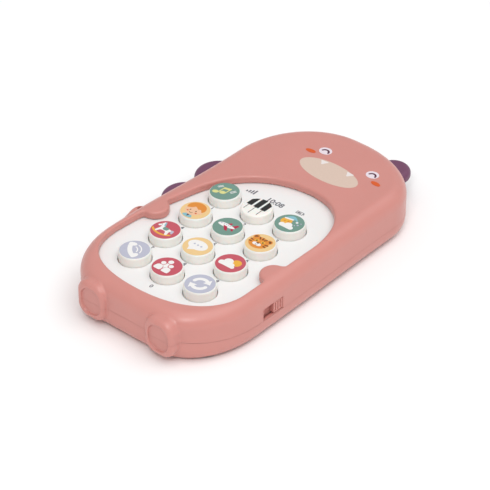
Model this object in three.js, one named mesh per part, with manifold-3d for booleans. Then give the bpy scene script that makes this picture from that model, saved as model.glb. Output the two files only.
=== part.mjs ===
// Toy cell phone in the shape of a dinosaur: two coral shells, a white key panel with twelve keys,
// purple crest spikes, a slide switch, and the battery bay, speaker and board inside.
// Millimetres. X runs across, Y from the feet to the head, Z up. The underside lies on Z = 0.
import * as THREE from 'three';
import { mergeVertices } from 'three/addons/utils/BufferGeometryUtils.js';
import Module from 'manifold-3d';

const wasm = await Module();
wasm.setup();

// ---------------------------------------------------------------- driving dimensions
const GAP = 0.3; // clearance between pieces that touch
const HALF_TURN = Math.PI;
const QUARTER_TURN = Math.PI / 2;

const HALF_WIDTH = 43.5; // at the keys
const HALF_LENGTH = 80.8;
const HEAD_RIGHT = 42.6; // the head is narrower than the rest and leans a little to the right
const HEAD_LEFT = -40.4;
const HEAD_RIGHT_CORNER = { x: 40, y: 29.5 }; // corners of the outline are quarter ellipses
const HEAD_LEFT_CORNER = { x: 38.5, y: 42.5 };
const HEEL_CORNER = { x: 26, y: 35 };
const SIDE_BEND = 42; // how gently the sides draw in towards the head
const BODY_TOP = 24.4;
const TOP_ROUND = 7;
const BOTTOM_ROUND = 7;
const WALL = 2.2;
const SEAM = 8.9; // height of the joint between the shells, before it rises towards the feet
const SEAM_RISE = 3;
const SEAM_RISE_START = -25;
const TONGUE = 1.6; // how far the lower shell's lip stands up inside the upper one

const KEY_PITCH_X = 19;
const KEY_PITCH_Y = 19.76;
const KEY_GRID_Y = -24.5; // centre of the key grid
const KEY_RADIUS = 7.3;
const KEY_TOP = 24.7;
const KEY_TRAVEL = 1.5;
const KEY_FOOT = 16.4; // lowest point of a key at rest
const FLANGE_RADIUS = 8.4;
const FLANGE_HEIGHT = 1.2;

const PANEL_TOP = 20.4;
const PANEL_THICK = 2;
const PANEL_MARGIN = 1.4; // how far the panel reaches under the rim
const RIM_WIDTH = 1.8; // extra width of the rim's web around the opening

const BOARD_BOTTOM = 11;
const BOARD_THICK = 1.6;
const MEMBRANE_THICK = 1.2;

// Spikes and horns are flat rounded fins clamped in the seam: two spikes down the left side, and a
// pair of horns on the head.
const FINS = [
  { name: 'back_spike_1', x: -42.2, y: 4, radius: 11 },
  { name: 'back_spike_2', x: -41.9, y: 27, radius: 11.4 },
  { name: 'horn_left', x: -14.4, y: 81.5, radius: 8 },
  { name: 'horn_right', x: 16.6, y: 83, radius: 8 },
];
const FIN_MIDDLE = 10.8; // height of a fin's middle plane
const FIN_HALF_THICK = 3;
const FIN_ROUND = 2.6;

const FOOT_HALF_WIDTH = 8.2;
const FOOT_BOTTOM = 3.4;
const FOOT_TOP = 22.2;
const FOOT_PROUD = 2.4;
const FOOT_ROUND = 2.6;
const FOOT_X = [-18.9, 20.3];

const TAIL_BOTTOM = 2;
const TAIL_TOP = 12.6;

const SLOT_Y = [-40.6, -27.9];
const SLOT_TOP = 15;
const KNOB_LENGTH = 5.6;
const SLOT_PLAY = 6; // how far the knob slides
const SHUTTER_LAP = 0.6; // how far the knob's plate reaches past the slot, at either end of its play

const BAY_HALF_WIDTH = 25;
const BAY_Y = [29, 63.5];
const BAY_WALL = 1.5;
const BAY_CEILING = 13.6;
const DOOR_THICK = 2;
const DOOR_TAB = { halfWidth: 5, length: 6.5 };
const DOOR_SCREW_Y = BAY_Y[0] - 3.7;

const CELL_RADIUS = 5.25; // AAA cells, lying across
const CELL_LENGTH = 44.5;
const CELL_PITCH = 11.3;
const CELL_Z = 8;

const SPEAKER_Y = -34.4;
const SPEAKER_RADIUS = 13.5;

// Posts for the shell screws: a screw head bears on the seat, from below.
const HEAD_POST = { x: 33.5, y: 50, top: BODY_TOP - WALL, seat: 4 };
const FOOT_POST = { x: 31.5, y: -64.5, top: PANEL_TOP - PANEL_THICK - 0.8, seat: 4 };
const SHELL_POSTS = [
  { ...HEAD_POST, name: 'head_left', x: -HEAD_POST.x },
  { ...HEAD_POST, name: 'head_right' },
  { ...FOOT_POST, name: 'foot_left', x: -FOOT_POST.x },
  { ...FOOT_POST, name: 'foot_right' },
];
const POST_RADIUS = 3;
const POST_BORE = 1.5;

// ---------------------------------------------------------------- materials
function plastic(color, roughness = 0.4) {
  return new THREE.MeshStandardMaterial({ color, roughness, metalness: 0 });
}

function metal(color, roughness = 0.35) {
  return new THREE.MeshStandardMaterial({ color, roughness, metalness: 1 });
}

const coral = plastic('#d4948c', 0.38);
const white = plastic('#f3f2ef', 0.35);
const purple = plastic('#7c5870', 0.5);
const silicone = plastic('#d9d6cd', 0.6);
const boardGreen = plastic('#2f6b45', 0.5);
const epoxy = plastic('#141414', 0.35);
const steel = metal('#b9bcc0');
const spring = metal('#c9c6bd', 0.3);
const magnet = metal('#5d6064', 0.5);
const paperCone = plastic('#2a2a2b', 0.8);
const cellWrap = plastic('#3f6f5a', 0.3);

// ---------------------------------------------------------------- solids
function solid(geometry) {
  const bare = geometry.index ? geometry.toNonIndexed() : geometry.clone();
  bare.deleteAttribute('normal');
  bare.deleteAttribute('uv');
  const merged = mergeVertices(bare);
  const vertProperties = new Float32Array(merged.attributes.position.array);
  const triVerts = new Uint32Array(merged.index.array);
  return new wasm.Manifold(new wasm.Mesh({ numProp: 3, vertProperties, triVerts }));
}

function geometryOf(body) {
  const { vertProperties, triVerts } = body.getMesh();
  const geometry = new THREE.BufferGeometry();
  geometry.setAttribute('position', new THREE.BufferAttribute(new Float32Array(vertProperties), 3));
  geometry.setIndex(new THREE.BufferAttribute(new Uint32Array(triVerts), 1));
  const flat = geometry.toNonIndexed();
  flat.computeVertexNormals();
  return flat;
}

function piece(name, body, material) {
  const mesh = new THREE.Mesh(body.isBufferGeometry ? body : geometryOf(body), material);
  mesh.name = name;
  return mesh;
}

// A prism of an outline between two heights, with both ends rounded when round is given.
function prism(shape, bottom, top, round = 0, curveSegments = 6) {
  const geometry = new THREE.ExtrudeGeometry(shape, {
    depth: top - bottom - 2 * round,
    curveSegments,
    bevelEnabled: round > 0,
    bevelThickness: round,
    bevelSize: round,
    bevelOffset: -round,
    bevelSegments: 3,
  });
  geometry.translate(0, 0, bottom + round);
  return solid(geometry);
}

function box(x0, x1, y0, y1, z0, z1) {
  const geometry = new THREE.BoxGeometry(x1 - x0, y1 - y0, z1 - z0);
  geometry.translate((x0 + x1) / 2, (y0 + y1) / 2, (z0 + z1) / 2);
  return solid(geometry);
}

function column(x, y, radius, z0, z1, sides = 12) {
  const geometry = new THREE.CylinderGeometry(radius, radius, z1 - z0, sides);
  geometry.rotateX(QUARTER_TURN);
  geometry.translate(x, y, (z0 + z1) / 2);
  return solid(geometry);
}

// A turned piece from a profile of [radius, height] points, standing at x, y.
function turned(profile, x, y, sides = 20) {
  const points = profile.map(([radius, height]) => new THREE.Vector2(radius, height));
  const geometry = new THREE.LatheGeometry([...points, points[0]], sides);
  geometry.rotateX(QUARTER_TURN);
  geometry.translate(x, y, 0);
  return solid(geometry);
}

function wire(points, radius) {
  const section = new THREE.Shape();
  section.absarc(0, 0, radius, 0, 2 * HALF_TURN);
  const curve = new THREE.CatmullRomCurve3(points.map((p) => new THREE.Vector3(...p)));
  return solid(new THREE.ExtrudeGeometry(section, {
    steps: 10, curveSegments: 3, extrudePath: curve,
  }));
}

function joined(bodies) {
  return bodies.reduce((sum, body) => sum.add(body));
}

// ---------------------------------------------------------------- outlines
// The outline of both shells. The head's right corner is fuller than its left one.
function bodyCurve() {
  const path = new THREE.Path();
  const heelX = HALF_WIDTH - HEEL_CORNER.x;
  const heelY = HEEL_CORNER.y - HALF_LENGTH;
  const rightX = HEAD_RIGHT - HEAD_RIGHT_CORNER.x;
  const rightY = HALF_LENGTH - HEAD_RIGHT_CORNER.y;
  const leftX = HEAD_LEFT + HEAD_LEFT_CORNER.x;
  const leftY = HALF_LENGTH - HEAD_LEFT_CORNER.y;
  const corner = (x, y, size, start) => {
    path.absellipse(x, y, size.x, size.y, start, start + QUARTER_TURN);
  };
  corner(heelX, heelY, HEEL_CORNER, -QUARTER_TURN);
  path.bezierCurveTo(
    HALF_WIDTH, heelY + SIDE_BEND, HEAD_RIGHT, rightY - SIDE_BEND, HEAD_RIGHT, rightY,
  );
  corner(rightX, rightY, HEAD_RIGHT_CORNER, 0);
  corner(leftX, leftY, HEAD_LEFT_CORNER, QUARTER_TURN);
  path.bezierCurveTo(
    HEAD_LEFT, leftY - SIDE_BEND, -HALF_WIDTH, heelY + SIDE_BEND, -HALF_WIDTH, heelY,
  );
  corner(-heelX, heelY, HEEL_CORNER, HALF_TURN);
  return path;
}

// A closed row of points moved outwards, square to the outline, by a distance.
function grown(points, distance) {
  const count = points.length;
  return points.map((point, index) => {
    const before = points[(index + count - 1) % count];
    const after = points[(index + 1) % count];
    const along = after.clone().sub(before).normalize();
    return new THREE.Vector2(point.x + along.y * distance, point.y - along.x * distance);
  });
}

// The points of a closed curve, with no point given twice.
function ringPoints(path, divisions) {
  const points = path.getPoints(divisions);
  return points.filter((point, index) => {
    const next = points[(index + 1) % points.length];
    return point.distanceTo(next) > 0.01;
  });
}

const BODY_POINTS = ringPoints(bodyCurve(), 6);

function bodyOutline(inset = 0) {
  return new THREE.Shape(grown(BODY_POINTS, -inset));
}

function seamHeight(y) {
  const rise = Math.min(Math.max((SEAM_RISE_START - y) / (HALF_LENGTH + SEAM_RISE_START), 0), 1);
  return SEAM + SEAM_RISE * rise * rise;
}

// Everything below the seam, or below a surface that lies a distance above it.
function belowSeam(raise) {
  const reach = 120;
  const steps = 8;
  const shape = new THREE.Shape();
  shape.moveTo(reach, -10);
  shape.lineTo(reach, seamHeight(reach) + raise);
  for (let step = 0; step <= steps; step += 1) {
    const y = SEAM_RISE_START - (step / steps) * (HALF_LENGTH + SEAM_RISE_START);
    shape.lineTo(y, seamHeight(y) + raise);
  }
  shape.lineTo(-reach, seamHeight(-reach) + raise);
  shape.lineTo(-reach, -10);
  const geometry = new THREE.ExtrudeGeometry(shape, { depth: 2 * reach, bevelEnabled: false });
  geometry.translate(0, 0, -reach);
  geometry.rotateY(QUARTER_TURN);
  geometry.rotateX(QUARTER_TURN);
  return solid(geometry);
}

// The opening over the keys: round at the feet, with an arch at the head that leans to the right.
function openingCurve() {
  const path = new THREE.Path();
  const right = 37.5;
  const left = -38;
  const foot = -73;
  path.moveTo(right, -46);
  path.lineTo(right, -2);
  path.bezierCurveTo(right, 19, 27, 32, 9, 32);
  path.bezierCurveTo(-9, 32, -27, 22, -32, -4);
  path.bezierCurveTo(-33.8, -13, left, -28, left, -46);
  path.bezierCurveTo(left, -65, -24, foot, 0, foot);
  path.bezierCurveTo(22, foot, right, -64, right, -46);
  return path;
}

const OPENING_POINTS = ringPoints(openingCurve(), 7);

function openingShape(grow = 0) {
  return new THREE.Shape(grown(OPENING_POINTS, grow));
}

function roundedRectangle(x0, x1, y0, y1, radius) {
  const shape = new THREE.Shape();
  shape.absarc(x1 - radius, y0 + radius, radius, -QUARTER_TURN, 0);
  shape.absarc(x1 - radius, y1 - radius, radius, 0, QUARTER_TURN);
  shape.absarc(x0 + radius, y1 - radius, radius, QUARTER_TURN, HALF_TURN);
  shape.absarc(x0 + radius, y0 + radius, radius, HALF_TURN, HALF_TURN + QUARTER_TURN);
  return shape;
}

function superellipse(halfWidth, halfHeight, power, count) {
  const points = [];
  for (let step = 0; step < count; step += 1) {
    const angle = (2 * HALF_TURN * step) / count;
    const c = Math.cos(angle);
    const s = Math.sin(angle);
    points.push(new THREE.Vector2(
      halfWidth * Math.sign(c) * Math.abs(c) ** (2 / power),
      halfHeight * Math.sign(s) * Math.abs(s) ** (2 / power),
    ));
  }
  return new THREE.Shape(points);
}

// ---------------------------------------------------------------- feet and tail
function footBlock(x, halfWidth, halfHeight, power, back, front, round) {
  const shape = superellipse(halfWidth, halfHeight, power, 20);
  const geometry = new THREE.ExtrudeGeometry(shape, {
    depth: front - back - 2 * round,
    bevelEnabled: round > 0,
    bevelThickness: round,
    bevelSize: round,
    bevelOffset: -round,
    bevelSegments: 2,
  });
  geometry.translate(0, 0, back + round);
  geometry.rotateX(QUARTER_TURN);
  geometry.translate(x, 0, (FOOT_BOTTOM + FOOT_TOP) / 2);
  return solid(geometry);
}

function feet() {
  const halfHeight = (FOOT_TOP - FOOT_BOTTOM) / 2;
  const face = HALF_LENGTH + FOOT_PROUD;
  return joined(FOOT_X.map((x) => {
    const block = footBlock(x, FOOT_HALF_WIDTH, halfHeight, 2.4, 68, face, FOOT_ROUND);
    const hollow = footBlock(x, FOOT_HALF_WIDTH - 3, halfHeight - 3.8, 2.4, face - 1, face + 2, 0);
    return block.subtract(hollow);
  }));
}

// The tail runs up the left side and ends in a small knob with a hole for a strap.
function tail() {
  const shape = new THREE.Shape();
  shape.moveTo(-34, -66);
  shape.bezierCurveTo(-42, -63, -48.4, -54, -49.6, -44);
  shape.bezierCurveTo(-50.4, -36, -51, -29, -53.4, -21);
  shape.bezierCurveTo(-55.2, -14.2, -50.2, -11.6, -47, -16);
  shape.bezierCurveTo(-45, -19.5, -43, -23, -36, -26);
  const strapHole = column(-51.6, -16.6, 1.2, 0, 20, 10);
  return prism(shape, TAIL_BOTTOM, TAIL_TOP, 2.5, 5).subtract(strapHole);
}

// ---------------------------------------------------------------- spikes and horns
const FIN_BOTTOM = FIN_MIDDLE - FIN_HALF_THICK;
const FIN_TOP = FIN_MIDDLE + FIN_HALF_THICK;
const ROOT_INSET = 4; // how far a root reaches in from the outline
const ROOT_FLANGE = 1.2; // how far its flange stands above and below, behind the wall

function wallRing(outerInset, innerInset, bottom, top) {
  return prism(bodyOutline(outerInset), bottom, top)
    .subtract(prism(bodyOutline(innerInset), bottom - 1, top + 1));
}

function disc(place, radius, bottom, top, round) {
  const shape = new THREE.Shape();
  shape.absarc(place.x, place.y, radius, 0, 2 * HALF_TURN);
  return prism(shape, bottom, top, round, 10);
}

function fin(place) {
  const half = disc(place, place.radius, FIN_BOTTOM, FIN_TOP, FIN_ROUND)
    .subtract(prism(bodyOutline(ROOT_INSET), 0, BODY_TOP));
  const flange = disc(place, place.radius, FIN_BOTTOM - ROOT_FLANGE, FIN_TOP + ROOT_FLANGE, 0)
    .intersect(wallRing(WALL + GAP, ROOT_INSET, 0, BODY_TOP));
  return half.add(flange);
}

// The room that a fin needs in the shells.
function finRoom(place) {
  const radius = place.radius + GAP;
  const spread = ROOT_FLANGE + GAP;
  const window = disc(place, radius, FIN_BOTTOM - GAP, FIN_TOP + GAP, FIN_ROUND)
    .intersect(wallRing(-place.radius, WALL + 0.1, 0, BODY_TOP));
  const behind = disc(place, radius, FIN_BOTTOM - spread, FIN_TOP + spread, 0)
    .intersect(wallRing(WALL, ROOT_INSET + GAP, 0, BODY_TOP));
  return window.add(behind);
}

// ---------------------------------------------------------------- shells
function slideSlot() {
  return box(HALF_WIDTH - 6, HALF_WIDTH + 2, SLOT_Y[0], SLOT_Y[1], SEAM - 1, SLOT_TOP);
}

// The paws are two lugs of the rim that hold the panel down.
const PAWS = [{ x: -35.6, y: -22.7 }, { x: 37.2, y: -27 }];
const PAW_RADIUS = 6.3;

function upperShell(finRooms) {
  const outer = prism(bodyOutline(), -TOP_ROUND, BODY_TOP, TOP_ROUND, 6).add(feet()).add(tail());
  const cavity = prism(bodyOutline(WALL), -TOP_ROUND, BODY_TOP - WALL, TOP_ROUND - WALL, 6);
  const web = prism(openingShape(RIM_WIDTH), PANEL_TOP + GAP, BODY_TOP - 1);
  const opening = prism(openingShape(), 0, BODY_TOP + 1);
  const paws = joined(PAWS.map((paw) => disc(paw, PAW_RADIUS, PANEL_TOP + GAP, BODY_TOP + 1, 0)));
  const posts = joined(SHELL_POSTS.map((post) => (
    column(post.x, post.y, POST_RADIUS, SEAM, post.top)
  )));
  const pilots = joined(SHELL_POSTS.map((post) => (
    column(post.x, post.y, POST_BORE, SEAM - 1, BODY_TOP - TOP_ROUND)
  )));
  const ribs = joined([-1, 1].map((side) => {
    const ends = [side * FOOT_POST.x, side * (FOOT_POST.x + 7)].sort((a, b) => a - b);
    return box(...ends, FOOT_POST.y - 1, FOOT_POST.y + 1, SEAM + SEAM_RISE + TONGUE, FOOT_POST.top);
  }));
  return outer.subtract(cavity)
    .add(web.intersect(outer))
    .subtract(opening)
    .add(paws.intersect(outer))
    .add(posts.intersect(outer))
    .add(ribs.intersect(outer))
    .subtract(pilots)
    .subtract(slideSlot())
    .subtract(finRooms)
    .subtract(belowSeam(GAP / 2));
}

function speakerGrille() {
  const holes = [column(0, SPEAKER_Y, 1.1, -1, WALL + 1, 6)];
  for (const [radius, count] of [[4, 6], [8, 12]]) {
    for (let hole = 0; hole < count; hole += 1) {
      const angle = (2 * HALF_TURN * hole) / count;
      const x = radius * Math.cos(angle);
      const y = SPEAKER_Y + radius * Math.sin(angle);
      holes.push(column(x, y, 1.1, -1, WALL + 1, 6));
    }
  }
  return joined(holes);
}

function bayWalls() {
  const outerX = BAY_HALF_WIDTH + BAY_WALL;
  const walls = box(
    -outerX, outerX, BAY_Y[0] - BAY_WALL, BAY_Y[1] + BAY_WALL, 1, BAY_CEILING + BAY_WALL,
  );
  const room = box(-BAY_HALF_WIDTH, BAY_HALF_WIDTH, BAY_Y[0], BAY_Y[1], -1, BAY_CEILING);
  return walls.subtract(room);
}

function doorOpening() {
  const tabEnd = BAY_Y[0] - DOOR_TAB.length;
  return box(-BAY_HALF_WIDTH, BAY_HALF_WIDTH, BAY_Y[0], BAY_Y[1], -1, BAY_CEILING)
    .add(box(
      -DOOR_TAB.halfWidth, DOOR_TAB.halfWidth, tabEnd, BAY_Y[0] + 1, -1, DOOR_THICK + 2 * GAP,
    ))
    .add(box(-7, 7, BAY_Y[1] - 1, BAY_Y[1] + BAY_WALL + 1, WALL, WALL + 5));
}

function tongue() {
  const top = BODY_TOP - TOP_ROUND;
  return wallRing(WALL + GAP, WALL + GAP + 1, 1, top)
    .intersect(belowSeam(TONGUE))
    .subtract(box(30, HALF_WIDTH, SLOT_Y[0] - SLOT_PLAY - 2, SLOT_Y[1] + SLOT_PLAY + 2, SEAM - 1, top))
    .subtract(joined(SHELL_POSTS.map((post) => (
      column(post.x, post.y, POST_RADIUS + GAP, SEAM - 1, top)
    ))));
}

function lowerShell(finRooms) {
  const outer = prism(bodyOutline(), 0, SEAM + 2 * BOTTOM_ROUND, BOTTOM_ROUND, 6)
    .add(feet())
    .add(tail());
  const cavityRound = BOTTOM_ROUND - WALL;
  const cavity = prism(bodyOutline(WALL), WALL, SEAM + 12, cavityRound, 6);
  const underSeam = belowSeam(-GAP / 2);
  const posts = joined(SHELL_POSTS.map((post) => (
    column(post.x, post.y, POST_RADIUS + 0.6, 1, SEAM + 5)
  )));
  const counterbores = joined(SHELL_POSTS.map((post) => (
    column(post.x, post.y, 2.9, -1, post.seat).add(column(post.x, post.y, POST_BORE, -1, SEAM + 5))
  )));
  const speakerWall = column(0, SPEAKER_Y, SPEAKER_RADIUS + 1.7, 1, 5, 18)
    .subtract(column(0, SPEAKER_Y, SPEAKER_RADIUS + 0.6, 0, 6, 18));
  const doorPost = column(0, DOOR_SCREW_Y, 3.4, DOOR_THICK + 2 * GAP, 9.5)
    .subtract(column(0, DOOR_SCREW_Y, 1.9, 0, 8.6));
  return outer.subtract(cavity).intersect(underSeam)
    .add(tongue())
    .add(posts.intersect(outer).intersect(underSeam))
    .add(speakerWall)
    .add(bayWalls())
    .subtract(doorOpening())
    .add(doorPost)
    .subtract(counterbores)
    .subtract(speakerGrille())
    .subtract(finRooms);
}

// ---------------------------------------------------------------- keys and what lies under them
const KEY_NAMES = [
  ['music', 'piano', 'moon'],
  ['child', 'plane', 'cub'],
  ['horse', 'chat', 'weather'],
  ['call', 'friends', 'swap'],
];

const KEYS = KEY_NAMES.flatMap((row, rowIndex) => row.map((name, columnIndex) => ({
  name: `key_${name}`,
  x: (columnIndex - 1) * KEY_PITCH_X,
  y: KEY_GRID_Y + (1.5 - rowIndex) * KEY_PITCH_Y,
})));

// Screws that hold the board against the panel's posts, between the keys.
const BOARD_POSTS = [-1, 1].flatMap((side) => [-1, 1].map((end) => ({
  x: (side * KEY_PITCH_X) / 2,
  y: KEY_GRID_Y + end * KEY_PITCH_Y,
})));

function keyPanel() {
  const bottom = PANEL_TOP - PANEL_THICK;
  const boardTop = BOARD_BOTTOM + BOARD_THICK;
  const holes = joined(KEYS.map((key) => (
    column(key.x, key.y, KEY_RADIUS + 0.5, bottom - 1, PANEL_TOP + 1, 18)
  )));
  const posts = joined(BOARD_POSTS.map((post) => (
    column(post.x, post.y, 2.1, boardTop + GAP, bottom + 1, 10)
  )));
  const pilots = joined(BOARD_POSTS.map((post) => (
    column(post.x, post.y, 1.15, boardTop - 1, bottom - 1, 8)
  )));
  return prism(openingShape(PANEL_MARGIN), bottom, PANEL_TOP)
    .subtract(holes)
    .add(posts)
    .subtract(pilots);
}

function keyCap(key) {
  const panelBottom = PANEL_TOP - PANEL_THICK;
  const flangeTop = panelBottom - GAP;
  const flangeBottom = flangeTop - FLANGE_HEIGHT;
  const edge = 0.7;
  return turned([
    [0, KEY_FOOT], [3, KEY_FOOT], [3, flangeBottom], [FLANGE_RADIUS, flangeBottom],
    [FLANGE_RADIUS, flangeTop], [KEY_RADIUS, flangeTop], [KEY_RADIUS, KEY_TOP - edge],
    [KEY_RADIUS - edge, KEY_TOP], [0, KEY_TOP],
  ], key.x, key.y, 18);
}

function keyMembrane() {
  const bottom = BOARD_BOTTOM + BOARD_THICK + GAP;
  const top = bottom + MEMBRANE_THICK;
  const domeTop = KEY_FOOT - GAP;
  const sheet = prism(roundedRectangle(-28, 28, -64, 15, 6), bottom, top, 0, 2);
  const dome = [[0, bottom + 0.2], [4.8, bottom + 0.2], [4.8, top], [3.4, domeTop], [0, domeTop]];
  const domes = joined(KEYS.map((key) => turned(dome, key.x, key.y, 12)));
  const holes = joined(BOARD_POSTS.map((post) => (
    column(post.x, post.y, 2.6, bottom - 1, top + 1, 10)
  )));
  return sheet.add(domes).subtract(holes);
}

function circuitBoard() {
  const top = BOARD_BOTTOM + BOARD_THICK;
  const holes = joined(BOARD_POSTS.map((post) => (
    column(post.x, post.y, 1.3, BOARD_BOTTOM - 1, top + 1, 8)
  )));
  return prism(roundedRectangle(-33, 33, -62, 20, 10), BOARD_BOTTOM, top, 0, 3).subtract(holes);
}

function chipBlob() {
  const top = BOARD_BOTTOM - GAP;
  return turned([[0, top - 1.6], [2, top - 1.5], [4, top - 1], [5, top], [0, top]], -17, 4, 14);
}

// ---------------------------------------------------------------- screws
// A pan-head screw pointing up, with a shallow driver recess in its head.
function screw(x, y, headBottom, headRadius, headHeight, shankRadius, length) {
  const headTop = headBottom + headHeight;
  return turned([
    [0, headBottom + 0.6], [headRadius * 0.45, headBottom], [headRadius, headBottom + 0.4],
    [headRadius, headTop], [shankRadius, headTop], [shankRadius, headTop + length - 1],
    [0, headTop + length],
  ], x, y, 10);
}

// ---------------------------------------------------------------- battery bay
const CELLS = [-1, 0, 1].map((row) => ({
  y: (BAY_Y[0] + BAY_Y[1]) / 2 + row * CELL_PITCH,
  plusSide: row === 0 ? -1 : 1,
}));
const SPRING_LENGTH = 2.8;
const CONTACT_THICK = 0.5;
const CONTACT_X = BAY_HALF_WIDTH - GAP - CONTACT_THICK;

// A turned piece lying along X, from a profile of [radius, distance] points.
function lying(profile, x, y, z, direction, sides) {
  const points = profile.map(([radius, height]) => new THREE.Vector2(radius, height));
  const geometry = new THREE.LatheGeometry([...points, points[0]], sides);
  geometry.rotateZ(-direction * QUARTER_TURN);
  geometry.translate(x, y, z);
  return solid(geometry);
}

function cell({ y, plusSide }) {
  const nub = 0.9;
  const length = CELL_LENGTH - nub;
  const start = -plusSide * (CONTACT_X - SPRING_LENGTH - 2 * GAP);
  return lying([
    [0, 0], [CELL_RADIUS - 0.6, 0], [CELL_RADIUS, 0.5], [CELL_RADIUS, length - 0.5],
    [CELL_RADIUS - 0.6, length], [1.8, length], [1.8, length + nub], [0, length + nub],
  ], start, y, CELL_Z, plusSide, 16);
}

function contactSpring({ y, plusSide }) {
  const start = -plusSide * (CONTACT_X - GAP);
  const profile = [[0, 0], [3.6, 0], [2.2, SPRING_LENGTH], [0, SPRING_LENGTH]];
  return lying(profile, start, y, CELL_Z, plusSide, 12);
}

function contactPlate(side, rows) {
  const x0 = side > 0 ? CONTACT_X : -CONTACT_X - CONTACT_THICK;
  const y0 = Math.min(...rows.map((row) => CELLS[row].y)) - 4.3;
  const y1 = Math.max(...rows.map((row) => CELLS[row].y)) + 4.3;
  return box(x0, x0 + CONTACT_THICK, y0, y1, CELL_Z - 4, CELL_Z + 4);
}

function batteryDoor() {
  const edge = GAP;
  const top = GAP + DOOR_THICK;
  const plate = box(
    -BAY_HALF_WIDTH + edge, BAY_HALF_WIDTH - edge, BAY_Y[0] + edge, BAY_Y[1] - edge, GAP, top,
  );
  const tab = box(
    -DOOR_TAB.halfWidth + edge, DOOR_TAB.halfWidth - edge,
    BAY_Y[0] - DOOR_TAB.length + edge, BAY_Y[0] + 1, GAP, top,
  );
  const hook = box(-6, 6, BAY_Y[1] - 2, BAY_Y[1] + 1.6, WALL + GAP, WALL + GAP + 1.2)
    .add(box(-6, 6, BAY_Y[1] - 2, BAY_Y[1] - 0.8, GAP + 0.5, WALL + GAP + 1.2));
  const recess = column(0, DOOR_SCREW_Y, 2.6, -1, GAP + 1.2, 14)
    .add(column(0, DOOR_SCREW_Y, 1.4, -1, top + 1, 10));
  return plate.add(tab).add(hook).subtract(recess);
}

// ---------------------------------------------------------------- speaker and switch
function speakerFrame() {
  const rim = SPEAKER_RADIUS;
  return turned([
    [0, 5.4], [8.4, 5.4], [12.4, 3.2], [12.4, 2.6], [rim, 2.6], [rim, 3.8], [12.8, 3.8],
    [8.8, 6.2], [0, 6.2],
  ], 0, SPEAKER_Y, 18);
}

function speakerCone() {
  return turned([
    [0, 4.3], [4, 4.3], [11.4, 2.5], [11.9, 2.5], [11.9, 2.8], [11.4, 2.9], [4.2, 4.8], [0, 4.8],
  ], 0, SPEAKER_Y, 16);
}

function speakerMagnet() {
  return turned([[0, 6.5], [7, 6.5], [7.4, 6.9], [7.4, 9.6], [7, 9.9], [0, 9.9]], 0, SPEAKER_Y, 16);
}

const KNOB_Y = [SLOT_Y[1] - GAP - KNOB_LENGTH, SLOT_Y[1] - GAP];

function switchKnob() {
  const bottom = SEAM + GAP + 0.15;
  const top = SLOT_TOP - GAP;
  const face = HALF_WIDTH - 0.4;
  const back = HALF_WIDTH - WALL - 0.5;
  const cap = box(back - 0.5, face, KNOB_Y[0], KNOB_Y[1], bottom, top);
  const shutter = box(
    back - 1.6, back, SLOT_Y[0] - SHUTTER_LAP, SLOT_Y[1] + SLOT_PLAY + SHUTTER_LAP,
    bottom + 0.3, top + 0.8,
  );
  const groovePitch = 1.6;
  const grooves = joined([0, 1, 2].map((groove) => {
    const y = (KNOB_Y[0] + KNOB_Y[1]) / 2 + (groove - 1) * groovePitch;
    return box(face - 0.5, face + 1, y - 0.3, y + 0.3, bottom + 0.6, top - 0.6);
  }));
  return cap.add(shutter).subtract(grooves);
}

function switchBody() {
  return box(29.5, 37.2, SLOT_Y[0] + 0.5, SLOT_Y[1] + 2.5, 7, BOARD_BOTTOM - GAP);
}

// ---------------------------------------------------------------- assembly
const group = new THREE.Group();

function add(name, body, material) {
  group.add(piece(name, body, material));
}

const finRooms = joined(FINS.map(finRoom));
add('upper_shell', upperShell(finRooms), coral);
add('lower_shell', lowerShell(finRooms), coral);
add('key_panel', keyPanel(), white);
KEYS.forEach((key) => add(key.name, keyCap(key), white));
add('key_membrane', keyMembrane(), silicone);
add('circuit_board', circuitBoard(), boardGreen);
add('chip_blob', chipBlob(), epoxy);
FINS.forEach((place) => add(place.name, fin(place), purple));

add('switch_knob', switchKnob(), coral);
add('switch_body', switchBody(), steel);

add('battery_door', batteryDoor(), coral);
add('battery_door_screw', screw(0, DOOR_SCREW_Y, GAP + 0.1, 2.2, 0.9, 1.1, 6), steel);
CELLS.forEach((place, index) => {
  add(`battery_${index + 1}`, cell(place), cellWrap);
  add(`contact_spring_${index + 1}`, contactSpring(place), spring);
});
add('contact_plate_left_outer', contactPlate(-1, [0]), spring);
add('contact_plate_left_bridge', contactPlate(-1, [1, 2]), spring);
add('contact_plate_right_bridge', contactPlate(1, [0, 1]), spring);
add('contact_plate_right_outer', contactPlate(1, [2]), spring);

add('speaker_frame', speakerFrame(), steel);
add('speaker_cone', speakerCone(), paperCone);
add('speaker_magnet', speakerMagnet(), magnet);

SHELL_POSTS.forEach((post) => {
  const headHeight = 1.5;
  const headBottom = post.seat - GAP - headHeight;
  const body = screw(post.x, post.y, headBottom, 2.5, headHeight, 1.2, 10.8);
  add(`shell_screw_${post.name}`, body, steel);
});
BOARD_POSTS.forEach((post, index) => {
  add(`board_screw_${index + 1}`, screw(post.x, post.y, 9.3, 1.9, 1.4, 0.85, 5), steel);
});

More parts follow.
